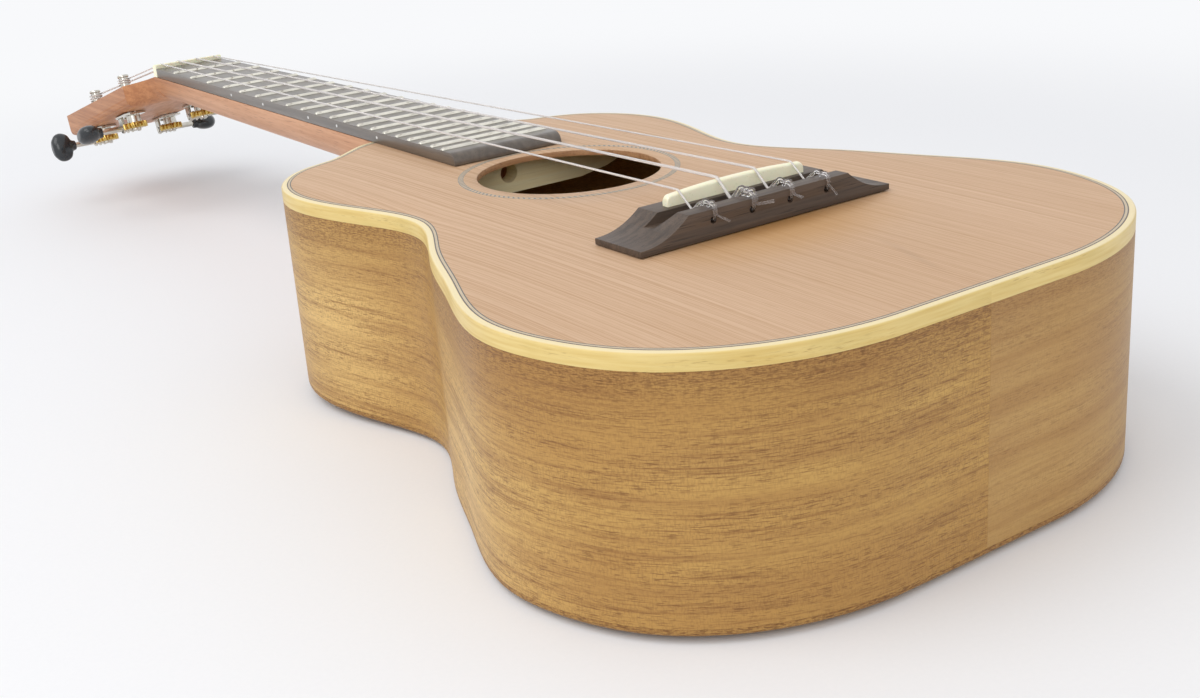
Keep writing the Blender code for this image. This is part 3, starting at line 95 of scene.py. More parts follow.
# The soundboard falls a little towards its edge, but not under the fingerboard
EDGE_FALL = 0.0016
EDGE_FALL_FROM = 0.35
LEVEL_HALF_WIDTH = 0.026
SLOPED_HALF_WIDTH = 0.046
BOARD_SHARES = (0.0, 0.12, 0.24, 0.36, 0.48, 0.58, 0.67, 0.75, 0.82, 0.88, 0.93, 0.97, 1.0)
HOLE_EDGE_ROUND = 0.0002
JOINT_LINE = 0.00002

# Neck, fingerboard and head
SCALE_LENGTH = 0.430
FRET_COUNT = 20
FINGERBOARD_THICKNESS = 0.0043
FINGERBOARD_NUT_WIDTH = 0.0354
FINGERBOARD_END_WIDTH = 0.0462
FINGERBOARD_PAST_LAST_FRET = 0.0095
FINGERBOARD_END_ROUND = 0.0037
FRET_CROWN_WIDTH = 0.0020
FRET_CROWN_HEIGHT = 0.0009
FRET_TANG_WIDTH = 0.0006
FRET_TANG_DEPTH = 0.0016
FRET_ENDS = ((0.0, 0.15), (0.0003, 0.75), (0.0008, 1.0))
NUT_LENGTH = 0.0045
NUT_ACTION = 0.0012
NUT_STRING_SPREAD = 0.0282
NUT_SEAT_SHARE = 0.35
NECK_DEPTH_AT_NUT = 0.0148
NECK_DEPTH_AT_HEEL = 0.0170
HEEL_DEPTH = 0.0660
HEEL_LENGTH = 0.052
HEEL_SWEEP = 2.6
HEAD_TILT = math.radians(15.0)
HEAD_LENGTH = 0.1340
HEAD_WIDTH = 0.0570
HEAD_THICKNESS = 0.0120
HEAD_FLARE_LENGTH = 0.0200
HEAD_FLARE = ((0.0, 0.0, 2.4), (0.3, 0.12, 2.8), (0.6, 0.42, 3.6), (0.85, 0.78, 5.0), (1.0, 1.0, 7.0))
HEAD_CORNER_RADIUS = 0.0045
TRUSS_ROD_BELOW_TOP = 0.0070
ROD_CHANNEL_RADIUS = 0.0033
ROD_CHANNEL_STATIONS = (0.27, 0.5123)
SIDE_DOT_FRETS = (5, 7, 10, 12, 15)
SIDE_DOT_RADIUS = 0.0006
SIDE_DOT_DEPTH = 0.001

# Bridge and saddle
BRIDGE_LENGTH = 0.0970
BRIDGE_TAIL_TO_SADDLE = 0.0162
BRIDGE_WIDTH = 0.0216
BRIDGE_TIP_THICKNESS = 0.0018
TIE_BLOCK_HEIGHT = 0.0086
TIE_BLOCK_FOOT_WIDTH = 0.0089
TIE_BLOCK_TOP_WIDTH = 0.0052
TIE_BLOCK_LENGTH = 0.0620
TROUGH_FLOOR_HEIGHT = 0.0042
TROUGH_WIDTH = 0.0038
SADDLE_RIDGE_HEIGHT = 0.0075
WING_SWEEP = 2.2
SADDLE_LENGTH = 0.0532
SADDLE_THICKNESS = 0.0026
SADDLE_SLOT_DEPTH = 0.0045
SADDLE_TOP_HEIGHT = 0.0119
SADDLE_TOP_FALL = 0.0011
SADDLE_END_ROUND = 0.0014
SADDLE_CROWN = 0.0009
SADDLE_STRING_SPREAD = 0.0442
TIE_HOLE_RADIUS = 0.0011
TIE_HOLE_HEIGHT = 0.0054

# Knots: how often the free end is wound round its strand, and where its tip ends from the block's back edge
KNOT_TURNS = {1: 1.5, 2: 1.5, 3: 2.5, 4: 2.0}
KNOT_TIPS = {1: (0.0026, -0.0018, -0.0052), 2: (0.0022, -0.0030, -0.0026)}
KNOT_TIPS |= {3: (0.0058, -0.0030, -0.0014), 4: (0.0040, -0.0026, -0.0040)}
KNOT_TIP_START = -0.0018
KNOT_SPACE = 0.0001
KNOT_LOOP_FORWARD = 0.0012

# Tuners
STRING_DIAMETERS = {1: 0.00060, 2: 0.00080, 3: 0.00095, 4: 0.00070}
TUNER_STATIONS = {1: 0.044, 2: 0.098, 3: 0.098, 4: 0.044}
TUNER_SIDES = {1: 1, 2: 1, 3: -1, 4: -1}
BUTTON_REST_ANGLES = {1: 20.0, 2: 12.0, 3: 84.0, 4: -14.0}
POST_FROM_CENTRE = 0.0190
POST_RADIUS = 0.0030
POST_WAIST_RADIUS = 0.0025
POST_HEIGHT = 0.0083
POST_STRING_HOLE_RADIUS = 0.0007
WINDING_TOP = 0.0062
WINDING_TURNS = 2.5
WINDING_SPACE = 0.0005
GEAR_TEETH = 14
GEAR_TIP_RADIUS = 0.0063
GEAR_ROOT_RADIUS = 0.0048
GEAR_PITCH_RADIUS = 0.0056
GEAR_THICKNESS = 0.0030
GEAR_TIP_WIDTH = 0.0008
GEAR_ROOT_WIDTH = 0.00124
GEAR_COLLAR_RADIUS = 0.0037
GEAR_SCREW_RADIUS = 0.0026
GEAR_SCREW_HEIGHT = 0.0013
WORM_CENTRE_DISTANCE = 0.0084
WORM_CORE_RADIUS = 0.0019
WORM_THREAD_HEIGHT = 0.00085
WORM_THREAD_WIDTH = 0.0013
WORM_TURNS = 2.5
WORM_DROP = 0.0068
SHAFT_RADIUS = 0.0015
SHAFT_CLEARANCE = 0.0003
SHAFT_IN_BUTTON = 0.0080
PLATE_THICKNESS = 0.0010
PLATE_BEHIND_POST = 0.0068
PLATE_PAST_WORM = 0.0062
EAR_THICKNESS = 0.0012
PLATE_SCREW_HOLE_RADIUS = 0.0008
PLATE_HOLE_FROM_INNER_END = 0.00144
PLATE_HOLE_FROM_OUTER_END = 0.0020
PLATE_SCREW_HEAD_HEIGHT = 0.0007
PLATE_SCREW_SHANK_END = 0.0020
BUTTON_FROM_POST = 0.0160
BUTTON_LENGTH = 0.0130
BUTTON_WIDTH = 0.0160
BUTTON_THICKNESS = 0.0090
BUTTON_SHAPE = (
    (0.00, 0.32, 0.62),
    (0.10, 0.36, 0.64),
    (0.22, 0.66, 0.74),
    (0.38, 0.92, 0.93),
    (0.55, 1.00, 1.00),
    (0.75, 0.93, 0.95),
    (0.90, 0.68, 0.74),
    (0.98, 0.36, 0.42),
)

# Floor and light
FAR_FLOOR = (0.94, 0.947, 0.965)
FLOOR_FADE_END = 0.88
FLOOR_FADE_SHARE = 0.6
WORLD_LIGHT = 0.78

SADDLE_STATION = BODY_LENGTH - SCALE_LENGTH / 2 ** (14 / 12)
NUT_STATION = SADDLE_STATION + SCALE_LENGTH
HEAD_START_STATION = NUT_STATION + NUT_LENGTH + SEAT_GAP
OVERALL_LENGTH = HEAD_START_STATION + HEAD_LENGTH * math.cos(HEAD_TILT)
FINGERBOARD_BOTTOM = BODY_DEPTH + SEAT_GAP
FINGERBOARD_TOP = FINGERBOARD_BOTTOM + FINGERBOARD_THICKNESS
BRIDGE_BOTTOM = BODY_DEPTH + SEAT_GAP
BRIDGE_TAIL_STATION = SADDLE_STATION - BRIDGE_TAIL_TO_SADDLE
TIE_TOP = BRIDGE_BOTTOM + TIE_BLOCK_HEIGHT
TIE_HOLE_LEVEL = BRIDGE_BOTTOM + TIE_HOLE_HEIGHT
TROUGH_FLOOR = BRIDGE_BOTTOM + TROUGH_FLOOR_HEIGHT
NUT_SLOT_HEIGHT = FINGERBOARD_TOP + NUT_ACTION
BINDING_BOTTOM = BODY_DEPTH - BINDING_HEIGHT
WORM_LEAD = CIRCLE * GEAR_PITCH_RADIUS / GEAR_TEETH
WORM_LEVEL = -(HEAD_THICKNESS + WORM_DROP)
PLATE_TOP = -(HEAD_THICKNESS + SEAT_GAP)
PLATE_BOTTOM = PLATE_TOP - PLATE_THICKNESS
EAR_FROM_POST = WORM_TURNS * WORM_LEAD / 2 + 2 * SEAT_GAP


def from_tail(station):
    """The world Y of a distance measured from the tail."""
    return station - OVERALL_LENGTH / 2


HOLE_Y = from_tail(SOUNDHOLE_STATION)
NUT_Y = from_tail(NUT_STATION)
SADDLE_Y = from_tail(SADDLE_STATION)
TIE_BACK_Y = from_tail(BRIDGE_TAIL_STATION)
TIE_FRONT_Y = from_tail(BRIDGE_TAIL_STATION + TIE_BLOCK_TOP_WIDTH)
TROUGH_Y = from_tail(BRIDGE_TAIL_STATION + TIE_BLOCK_FOOT_WIDTH)


def evenly(total, steps):
    """Even steps from nothing to the total."""
    return [total * index / steps for index in range(steps + 1)]


def round_turns(count):
    return evenly(CIRCLE, count)[:-1]


def quarter_round(radius, steps):
    """How far each point of a rounded corner lies inside the one face and the other."""
    turns = evenly(QUARTER, steps)
    return [(radius * (1 - math.cos(turn)), radius * (1 - math.sin(turn))) for turn in turns]


def mirrored(points):
    """The points of one half, taken backwards on the other side."""
    return [(-x, *rest) for x, *rest in reversed(points)]


def new_object(name, data):
    """An object of the scene for a mesh, a curve, a lamp or the camera."""
    thing = bpy.data.objects.new(name, data)
    bpy.context.scene.collection.objects.link(thing)
    return thing


# Camera


def build_camera():
    data = bpy.data.cameras.new("camera")
    data.sensor_width = SENSOR_WIDTH
    data.lens = CAMERA_FOCAL_PIXELS / PHOTO_WIDTH * SENSOR_WIDTH
    data.clip_start = 0.01
    data.clip_end = 50.0
    camera = new_object("camera", data)
    aim = Matrix.Rotation(-CAMERA_YAW, 4, "Z") @ Matrix.Rotation(QUARTER + CAMERA_PITCH, 4, "X")
    aim = aim @ Matrix.Rotation(CAMERA_ROLL, 4, "Z")
    camera.matrix_world = Matrix.Translation(CAMERA_PLACE) @ aim
    bpy.context.scene.camera = camera


build_camera()


# Materials


class Nodes:
    """The node tree of a material or of the world."""

    def __init__(self, owner):
        owner.use_nodes = True
        self.tree = owner.node_tree

    def add(self, kind, inputs, **settings):
        node = self.tree.nodes.new(kind)
        for setting, value in settings.items():
            setattr(node, setting, value)
        for name, value in inputs.items():
            socket = node.inputs[name]
            if isinstance(value, bpy.types.NodeSocket):
                self.tree.links.new(value, socket)
            elif socket.type == "RGBA":
                socket.default_value = (*value, 1.0)
            else:
                socket.default_value = value
        return node

    def ranged(self, value, low, high, to_low=0.0, to_high=1.0, kind="LINEAR"):
        """The value's way from low to high, as a way between two other numbers."""
        inputs = {"Value": value, "From Min": low, "From Max": high, "To Min": to_low, "To Max": to_high}
        return self.add("ShaderNodeMapRange", inputs, interpolation_type=kind).outputs["Result"]

    def math(self, operation, first, second=0.0):
        return self.add("ShaderNodeMath", {0: first, 1: second}, operation=operation).outputs[0]

    def seen(self):
        """1 for what the camera, glossy and clear surfaces see, and 0 for what lights the object."""
        path = self.add("ShaderNodeLightPath", {})
        seen = path.outputs["Is Camera Ray"]
        for ray in ("Is Glossy Ray", "Is Transmission Ray"):
            seen = self.math("MAXIMUM", seen, path.outputs[ray])
        return seen


class Finish(Nodes):
    """A material with a Principled shader, whose colour is laid on coat by coat."""

    def __init__(self, name, **sockets):
        self.material = bpy.data.materials.new(name)
        super().__init__(self.material)
        self.shader = self.tree.nodes["Principled BSDF"]
        for socket, value in sockets.items():
            self.shader.inputs[socket.replace("_", " ")].default_value = value
        self.place = self.add("ShaderNodeTexCoord", {}).outputs["Object"]

    def uv_place(self):
        return self.add("ShaderNodeTexCoord", {}).outputs["UV"]

    def axis(self, letter):
        return self.add("ShaderNodeSeparateXYZ", {"Vector": self.place}).outputs[letter]

    def joined(self, x, y, z):
        return self.add("ShaderNodeCombineXYZ", {"X": x, "Y": y, "Z": z}).outputs["Vector"]

    def mapped(self, place, **inputs):
        return self.add("ShaderNodeMapping", {"Vector": place, **inputs}).outputs["Vector"]

    def noise(self, scale, detail=2.0, offset=(0.0, 0.0, 0.0), roughness=0.5, distortion=0.0):
        """Noise of so many waves per metre, along each axis or the same along all."""
        scale = scale if isinstance(scale, tuple) else (scale,) * 3
        inputs = {"Vector": self.mapped(self.place, Scale=scale, Location=offset), "Scale": 1.0}
        inputs |= {"Detail": detail, "Roughness": roughness, "Distortion": distortion}
        return self.add("ShaderNodeTexNoise", inputs).outputs["Fac"]

    def between(self, value, low, high):
        """The value's way from low to high, as 0 to 1, with soft ends."""
        return self.ranged(value, low, high, kind="SMOOTHSTEP")

    def scaled(self, value, share):
        return self.math("MULTIPLY", value, share)

    def mixed(self, share, first, second):
        return self.add("ShaderNodeMix", {0: share, 6: first, 7: second}, data_type="RGBA").outputs[2]

    def spot(self, place, centre, reach):
        """1 at the centre of a soft oval patch and 0 beyond its reach."""
        scale = (1 / reach[0], 1 / reach[1], 0.0)
        offset = (-centre[0] / reach[0], -centre[1] / reach[1], 0.0)
        inputs = {0: self.mapped(place, Scale=scale, Location=offset)}
        distance = self.add("ShaderNodeVectorMath", inputs, operation="LENGTH").outputs["Value"]
        return self.between(distance, 1.0, 0.0)

    def base(self, value, ends, first, second):
        self.color = self.mixed(self.between(value, *ends), first, second)

    def lay(self, value, share, color):
        """Lays a colour over what is there, as strong as the value times the share."""
        self.color = self.mixed(self.scaled(value, share), self.color, color)

    def tint(self, value, ends, share, color, within=1.0):
        self.lay(self.scaled(self.between(value, *ends), within), share, color)

    def link(self, value, socket):
        self.tree.links.new(value, self.shader.inputs[socket])

    def done(self, roughness, bump=None):
        """The material, with roughness as (value, low, high) and bump as (height, distance, strength)."""
        self.link(self.color, "Base Color")
        value, low, high = roughness
        self.link(self.ranged(value, 0.0, 1.0, low, high), "Roughness")
        if bump:
            inputs = dict(zip(("Height", "Distance", "Strength"), bump))
            self.link(self.add("ShaderNodeBump", inputs).outputs["Normal"], "Normal")
        return self.material


# Patches, each as its centre and its reach, and where other shades start and end. Those marked below are
# painted light and shade; the others are tones of the wood
# Painted shade: a warm, darker patch on the soundboard at the bridge's tail side
WARM_PAINTED_SHADE = ((-0.002, -0.258), (0.062, 0.028))
# Painted shadow: a narrow, deep orange-brown band at the bridge's rear foot
BRIDGE_SHADE = ((0.0, -0.2505), (0.056, 0.010))
# Painted shade: a darker streak on the soundboard on the tail side of the bridge
PAINTED_SHADE_STREAK = ((0.0114, -0.2776), (-0.0023, -0.3229))
PAINTED_SHADE_STREAK_HALF_WIDTH = 0.0024
# Painted light: lighter golden patches on the sides, where more light falls on them
PAINTED_LIGHT_SPOTS = (((0.185, 0.015), (0.080, 0.060)), ((0.308, 0.030), (0.060, 0.060)))
SIDE_DARK_EDGE = (0.048, 0.072)
TREBLE_SIDE = (BODY_LENGTH * 3, BODY_LENGTH * 3.5)
# Painted highlight: a pale band along the binding's rounded top edge
BINDING_PAINTED_HIGHLIGHT = (0.0044, 0.0050)
# Painted shade: the neck's wood turns darker towards the head
HEAD_PAINTED_SHADE = (0.13, 0.215)


def times(values, share):
    return tuple(value * share for value in values)


def mirrored_place(finish):
    """Object coordinates folded about the centre line, as bookmatched wood is."""
    return finish.joined(finish.math("ABSOLUTE", finish.axis("X")), finish.axis("Y"), finish.axis("Z"))


def back_place(finish):
    """Bookmatched, with the grain along the body."""
    return finish.joined(finish.axis("Y"), finish.math("ABSOLUTE", finish.axis("X")), finish.axis("Z"))


def painted_shade_streak(finish, place):
    """A narrow oval patch of painted shade from one end of the streak to the other."""
    start, end = (Vector(point) for point in PAINTED_SHADE_STREAK)
    lean = start - end
    turn = math.atan2(lean.x, lean.y)
    middle = Matrix.Rotation(turn, 2) @ ((start + end) / 2)
    along_streak = finish.mapped(place, Location=(-middle.x, -middle.y, 0.0), Rotation=(0.0, 0.0, turn))
    return finish.spot(along_streak, (0.0, 0.0), (PAINTED_SHADE_STREAK_HALF_WIDTH, lean.length / 2))


def cedar_finish():
    finish = Finish("cedar_wood", Specular_IOR_Level=0.35)
    board = finish.place
    finish.place = mirrored_place(finish)
    lines = finish.noise((2500.0, 3.0, 40.0), 1.0)
    bands = finish.noise((300.0, 2.5, 10.0), 2.0, (3.0, 1.0, 0.0))
    broad = finish.noise((34.0, 6.0, 10.0), 3.0, (7.0, 2.0, 0.0))
    fibres = finish.noise((3400.0, 120.0, 300.0))
    finish.base(broad, (0.3, 0.7), (0.61, 0.40, 0.245), (0.65, 0.436, 0.279))
    finish.tint(bands, (0.45, 0.75), 0.2, (0.56, 0.345, 0.195))
    finish.tint(lines, (0.42, 0.66), 0.6, (0.45, 0.25, 0.12))
    finish.tint(fibres, (0.5, 0.8), 0.3, (0.42, 0.23, 0.11))
    # Painted shade: the warm, darker patch at the bridge's tail side
    finish.lay(finish.spot(board, *WARM_PAINTED_SHADE), 0.6, (0.56, 0.30, 0.10))
    # Painted shadow at the bridge's rear foot
    finish.lay(finish.spot(board, *BRIDGE_SHADE), 0.75, (0.38, 0.18, 0.05))
    # Painted shade: the darker streak on the soundboard
    finish.lay(painted_shade_streak(finish, board), 0.3, (0.40, 0.25, 0.15))
    return finish.done((fibres, 0.45, 0.6), (fibres, 0.00003, 0.5))


def side_finish(name, place_of):
    """Straight-grained figured wood: along X the grain, along Y the width of the wood."""
    finish = Finish(name, Specular_IOR_Level=0.35)
    finish.place = place_of(finish)
    patches = finish.noise((7.0, 24.0, 9.0), 3.0, roughness=0.6, distortion=0.3)
    bands = finish.noise((8.0, 210.0, 14.0), 3.0, (2.0, 5.0, 0.0), 0.55)
    streaks = finish.noise((30.0, 1000.0, 30.0), 3.0, roughness=0.6)
    clusters = finish.noise((16.0, 120.0, 16.0), 2.0, (4.0, 9.0, 0.0))
    dashes = finish.noise((260.0, 2700.0, 260.0))
    rungs = finish.noise((1900.0, 640.0, 1900.0), 1.0)
    ticks = finish.noise((600.0, 2400.0, 600.0), 2.0, (1.0, 3.0, 0.0))
    upper = finish.between(finish.axis("Y"), *SIDE_DARK_EDGE)
    calm = finish.between(finish.axis("X"), *TREBLE_SIDE)
    finish.base(patches, (0.3, 0.7), (0.45, 0.243, 0.064), (0.57, 0.345, 0.098))
    # Painted light: lighter golden patches on the sides
    for painted_light_spot in PAINTED_LIGHT_SPOTS:
        finish.lay(finish.spot(finish.place, *painted_light_spot), 0.9, (0.75, 0.50, 0.185))
    finish.lay(upper, 0.55, (0.36, 0.18, 0.046))
    finish.lay(calm, 0.45, (0.42, 0.25, 0.105))
    finish.tint(bands, (0.4, 0.7), 0.5, (0.35, 0.175, 0.05))
    busy = finish.math("MAXIMUM", finish.ranged(clusters, 0.3, 0.6, 0.35), upper)
    busy = finish.scaled(busy, finish.between(finish.scaled(calm, 0.5), 1.0, 0.0))
    finish.tint(streaks, (0.46, 0.7), 0.7, (0.25, 0.11, 0.028), busy)
    depth = finish.scaled(finish.between(dashes, 0.52, 0.66), busy)
    finish.lay(depth, 0.7, (0.17, 0.068, 0.017))
    finish.tint(rungs, (0.46, 0.6), 0.3, (0.22, 0.10, 0.028), busy)
    finish.tint(ticks, (0.48, 0.6), 0.7, (0.15, 0.06, 0.014), finish.scaled(upper, busy))
    return finish.done((patches, 0.38, 0.5), (finish.scaled(depth, -1.0), 0.00005, 0.6))


def binding_finish():
    finish = Finish("binding_maple", Specular_IOR_Level=0.4)
    finish.place = finish.uv_place()
    streaks = finish.noise((45.0, 900.0, 1.0), 3.0)
    clouds = finish.noise((55.0, 160.0, 1.0), 2.0, (3.0, 0.0, 0.0))
    flecks = finish.noise((260.0, 3600.0, 1.0))
    groups = finish.noise((28.0, 300.0, 1.0), 2.0, (9.0, 4.0, 0.0))
    finish.base(streaks, (0.3, 0.75), (0.76, 0.585, 0.235), (0.67, 0.475, 0.15))
    finish.tint(clouds, (0.45, 0.75), 0.5, (0.62, 0.47, 0.16))
    finish.tint(flecks, (0.52, 0.7), 0.7, (0.40, 0.25, 0.07), finish.between(groups, 0.5, 0.68))
    # Painted highlight along the binding's rounded top edge
    finish.tint(finish.axis("Y"), BINDING_PAINTED_HIGHLIGHT, 0.75, (0.90, 0.78, 0.50))
    return finish.done((streaks, 0.3, 0.42), (flecks, 0.00002, 0.4))


def grained_finish(name, light, dark, roughness, along="Y", pored=1.0, coat=0.0):
    """A plain straight-grained wood with short pores, bare or with a thin coat."""
    finish = Finish(name, Coat_Weight=coat, Coat_Roughness=0.3)
    scale = (420.0, 12.0, 420.0) if along == "Y" else (12.0, 420.0, 420.0)
    grain = finish.noise(scale, 3.0, roughness=0.6)
    pores = finish.noise(times(scale, 7.0))
    finish.base(grain, (0.3, 0.72), light, dark)
    depth = finish.scaled(finish.between(pores, 0.56, 0.72), pored)
    finish.lay(depth, 1.0, times(dark, 0.55))
    bump = (finish.scaled(depth, -1.0), 0.00004, 0.5)
    return finish.done((grain, roughness - 0.06, roughness + 0.08), bump)


def neck_finish():
    """Plain reddish wood, with painted shade making it darker towards the head."""
    finish = Finish("neck_mahogany", Specular_IOR_Level=0.4)
    grain = finish.noise((420.0, 12.0, 420.0), 3.0, roughness=0.6)
    pores = finish.noise((2600.0, 90.0, 2600.0))
    # Painted shade: darker towards the head
    painted_head_shade = finish.between(finish.axis("Y"), *HEAD_PAINTED_SHADE)
    light = finish.mixed(painted_head_shade, (0.64, 0.345, 0.195), (0.53, 0.235, 0.10))
    dark = finish.mixed(painted_head_shade, (0.53, 0.26, 0.135), (0.38, 0.15, 0.062))
    finish.base(grain, (0.3, 0.72), light, dark)
    depth = finish.between(pores, 0.56, 0.72)
    finish.lay(depth, 0.6, (0.26, 0.105, 0.05))
    return finish.done((grain, 0.36, 0.5), (finish.scaled(depth, -1.0), 0.00003, 0.5))


def bone_finish():
    finish = Finish("bone_white", Subsurface_Weight=0.08, Subsurface_Scale=0.002)
    clouds = finish.noise((160.0, 500.0, 500.0), 3.0)
    specks = finish.noise(1500.0)
    finish.color = finish.mixed(clouds, (0.98, 0.94, 0.71), (0.95, 0.90, 0.65))
    finish.tint(specks, (0.6, 0.8), 1.0, (0.80, 0.75, 0.52))
    return finish.done((clouds, 0.28, 0.42), (specks, 0.00001, 0.4))


def metal_finish(name, color, low, high, scratch=900.0):
    finish = Finish(name, Metallic=1.0)
    wear = finish.noise(scratch, 3.0)
    film = finish.noise(150.0)
    finish.base(film, (0.35, 0.75), color, times(color, 0.82))
    return finish.done((wear, low, high), (wear, 0.00001, 0.25))


def nylon_finish():
    """Milky along the string, and clear where it is wound round itself at the tie block."""
    finish = Finish("clear_nylon", IOR=1.35)
    clouds = finish.noise((900.0, 90.0, 900.0))
    knot = finish.between(finish.axis("Y"), TROUGH_Y, TIE_FRONT_Y)
    finish.color = finish.mixed(clouds, (0.93, 0.89, 0.86), (0.86, 0.82, 0.80))
    finish.lay(knot, 1.0, (0.92, 0.90, 0.90))
    finish.link(finish.ranged(knot, 0.0, 1.0, 0.45, 0.95), "Transmission Weight")
    return finish.done((clouds, 0.1, 0.16))


def plastic_finish():
    finish = Finish("black_plastic_gloss", Coat_Weight=0.25, Coat_Roughness=0.12)
    skin, worn = finish.noise(1400.0), finish.noise(120.0, 3.0)
    finish.color = finish.mixed(worn, (0.008, 0.011, 0.014), (0.022, 0.026, 0.030))
    return finish.done((worn, 0.18, 0.34), (skin, 0.00002, 0.3))


def dyed_finish(name, color, roughness=0.5):
    """A thin dyed or pale wood line."""
    finish = Finish(name)
    clouds = finish.noise(500.0)
    finish.color = finish.mixed(clouds, color, times(color, 0.8))
    return finish.done((clouds, roughness - 0.05, roughness + 0.05))


# Looks, each as its material and the kind of surface it is
CEDAR = (cedar_finish(), "cedar")
SIDE_WOOD = (side_finish("side_wood_figured", Finish.uv_place), "side_wood")
BACK_WOOD = (side_finish("back_wood_figured", back_place), "side_wood")
MAPLE = (binding_finish(), "maple")
SPRUCE = (grained_finish("inner_spruce", (0.98, 0.86, 0.54), (0.95, 0.79, 0.44), 0.62, "X", 0.2), "spruce")
NECK_WOOD = (neck_finish(), "neck_wood")
BOARD_SHADES = ((0.125, 0.097, 0.073), (0.078, 0.060, 0.045))
BRIDGE_SHADES = ((0.105, 0.070, 0.048), (0.050, 0.034, 0.025))
DARK_WOOD = (grained_finish("fingerboard_dark", *BOARD_SHADES, 0.4, coat=0.7), "dark_wood")
CEDAR_END = (grained_finish("cedar_end", (0.46, 0.235, 0.10), (0.33, 0.15, 0.055), 0.55, "X"), "cedar")
BRIDGE_WOOD = (grained_finish("bridge_rosewood", *BRIDGE_SHADES, 0.45, "X"), "dark_wood")
BONE = (bone_finish(), "bone")
NICKEL = (metal_finish("fret_nickel", (0.86, 0.83, 0.73), 0.16, 0.32, (60.0, 2500.0, 2500.0)), "nickel")
CHROME = (metal_finish("tuner_chrome", (0.66, 0.63, 0.56), 0.12, 0.26), "chrome")
BRASS = (metal_finish("gear_brass", (0.62, 0.43, 0.13), 0.18, 0.34), "brass")
STEEL = (metal_finish("rod_steel", (0.42, 0.42, 0.43), 0.35, 0.5), "steel")
NYLON = (nylon_finish(), "nylon")
PLASTIC = (plastic_finish(), "black_plastic")
LINES = {
    "dark": (dyed_finish("dark_line", (0.11, 0.115, 0.115)), "dark_wood"),
    "light": (dyed_finish("light_line", (0.64, 0.52, 0.36)), "maple"),
    "grey": (dyed_finish("grey_line", (0.25, 0.26, 0.235)), "dark_wood"),
    "pale": (dyed_finish("pale_line", (0.62, 0.46, 0.315)), "maple"),
}
WHITE_DOT = (dyed_finish("white_dot", (0.85, 0.85, 0.83), 0.35), "bone")


# Mesh tools


def new_mesh(bm):
    bmesh.ops.recalc_face_normals(bm, faces=bm.faces)
    mesh = bpy.data.meshes.new("mesh")
    bm.to_mesh(mesh)
    bm.free()
    return mesh


def evaluated_mesh(thing):
    """The mesh that a curve or an object with modifiers makes, without the object."""
    bpy.context.view_layer.update()
    graph = bpy.context.evaluated_depsgraph_get()
    bm = bmesh.new()
    bm.from_mesh(bpy.data.meshes.new_from_object(thing.evaluated_get(graph)))
    bmesh.ops.remove_doubles(bm, verts=bm.verts, dist=1e-6)
    bpy.data.objects.remove(thing)
    return new_mesh(bm)


def curve_mesh(lines, closed, **settings):
    curve = bpy.data.curves.new("curve", "CURVE")
    for setting, value in settings.items():
        setattr(curve, setting, value)
    for line in lines:
        spline = curve.splines.new("POLY")
        spline.points.add(len(line) - 1)
        for point, place in zip(spline.points, line):
            point.co = (*place, 1.0)
        spline.use_cyclic_u = closed
    return evaluated_mesh(new_object("curve", curve))


PLANE_TURNS = {
    "top": Matrix.Identity(4),
    "front": Matrix.Rotation(math.pi / 2, 4, "X"),
    "side": Matrix.Rotation(math.pi / 2, 4, "Z") @ Matrix.Rotation(math.pi / 2, 4, "X"),
}


def outline_mesh(loops, thickness, plane="top"):
    """A flat outline, with any further loops as holes, given a thickness about its plane."""
    lines = [[(*point, 0.0) for point in loop] for loop in loops]
    mesh = curve_mesh(lines, True, dimensions="2D", fill_mode="BOTH", extrude=thickness / 2)
    mesh.transform(PLANE_TURNS[plane])
    return mesh


def tube_mesh(points, diameter):
    round_section = {"bevel_depth": diameter / 2, "bevel_resolution": 4, "use_fill_caps": True}
    return curve_mesh([points], False, dimensions="3D", **round_section)


def polar(radius, angle):
    return radius * math.cos(angle), radius * math.sin(angle)


def circle_points(radius, count, middle_y=0.0):
    around = (polar(radius, angle) for angle in round_turns(count))
    return [(x, middle_y + y) for x, y in around]


def loft(bm, sections, closed=False, uv=None):
    """A solid through sections of equal point counts or of one point, closed into a ring or capped.

    With uv, a pair of lists gives the first coordinate of each section, one more when closed, and the
    second coordinate of each point, with one more for the way back to the first point.
    """
    layer = bm.loops.layers.uv.new("UVMap") if uv else None
    rings = [[bm.verts.new(point) for point in section] for section in sections]
    followers = rings[1:] + rings[:1] if closed else rings[1:]
    for number, (ring, follower) in enumerate(zip(rings, followers)):
        for index in range(max(len(ring), len(follower))):
            corners = [(ring, number, index), (ring, number, index + 1)]
            corners += [(follower, number + 1, index + 1), (follower, number + 1, index)]
            points = dict.fromkeys(around[place % len(around)] for around, _, place in corners)
            face = bm.faces.new(list(points))
            if uv:
                for loop, (_, along, across) in zip(face.loops, corners):
                    loop[layer].uv = (uv[0][along], uv[1][across])
    for ring in (rings[0], rings[-1]):
        if len(ring) > 2 and not closed:
            bm.faces.new(ring)


def loft_mesh(sections, **settings):
    bm = bmesh.new()
    loft(bm, sections, **settings)
    return new_mesh(bm)


def turned_mesh(profile, steps=48, closed=False):
    """A profile of (radius, height) points turned round the Z axis."""
    sections = []
    for radius, height in profile:
        around = circle_points(radius, steps) if radius else [(0.0, 0.0)]
        sections.append([(x, y, height) for x, y in around])
    return loft_mesh(sections, closed=closed)


def add_box(bm, centre, size):
    bmesh.ops.create_cube(bm, size=1.0, matrix=Matrix.Translation(centre) @ Matrix.Diagonal((*size, 1.0)))


def box_mesh(low, high):
    bm = bmesh.new()
    size = [top - bottom for bottom, top in zip(low, high)]
    centre = [(top + bottom) / 2 for bottom, top in zip(low, high)]
    add_box(bm, centre, size)
    return new_mesh(bm)


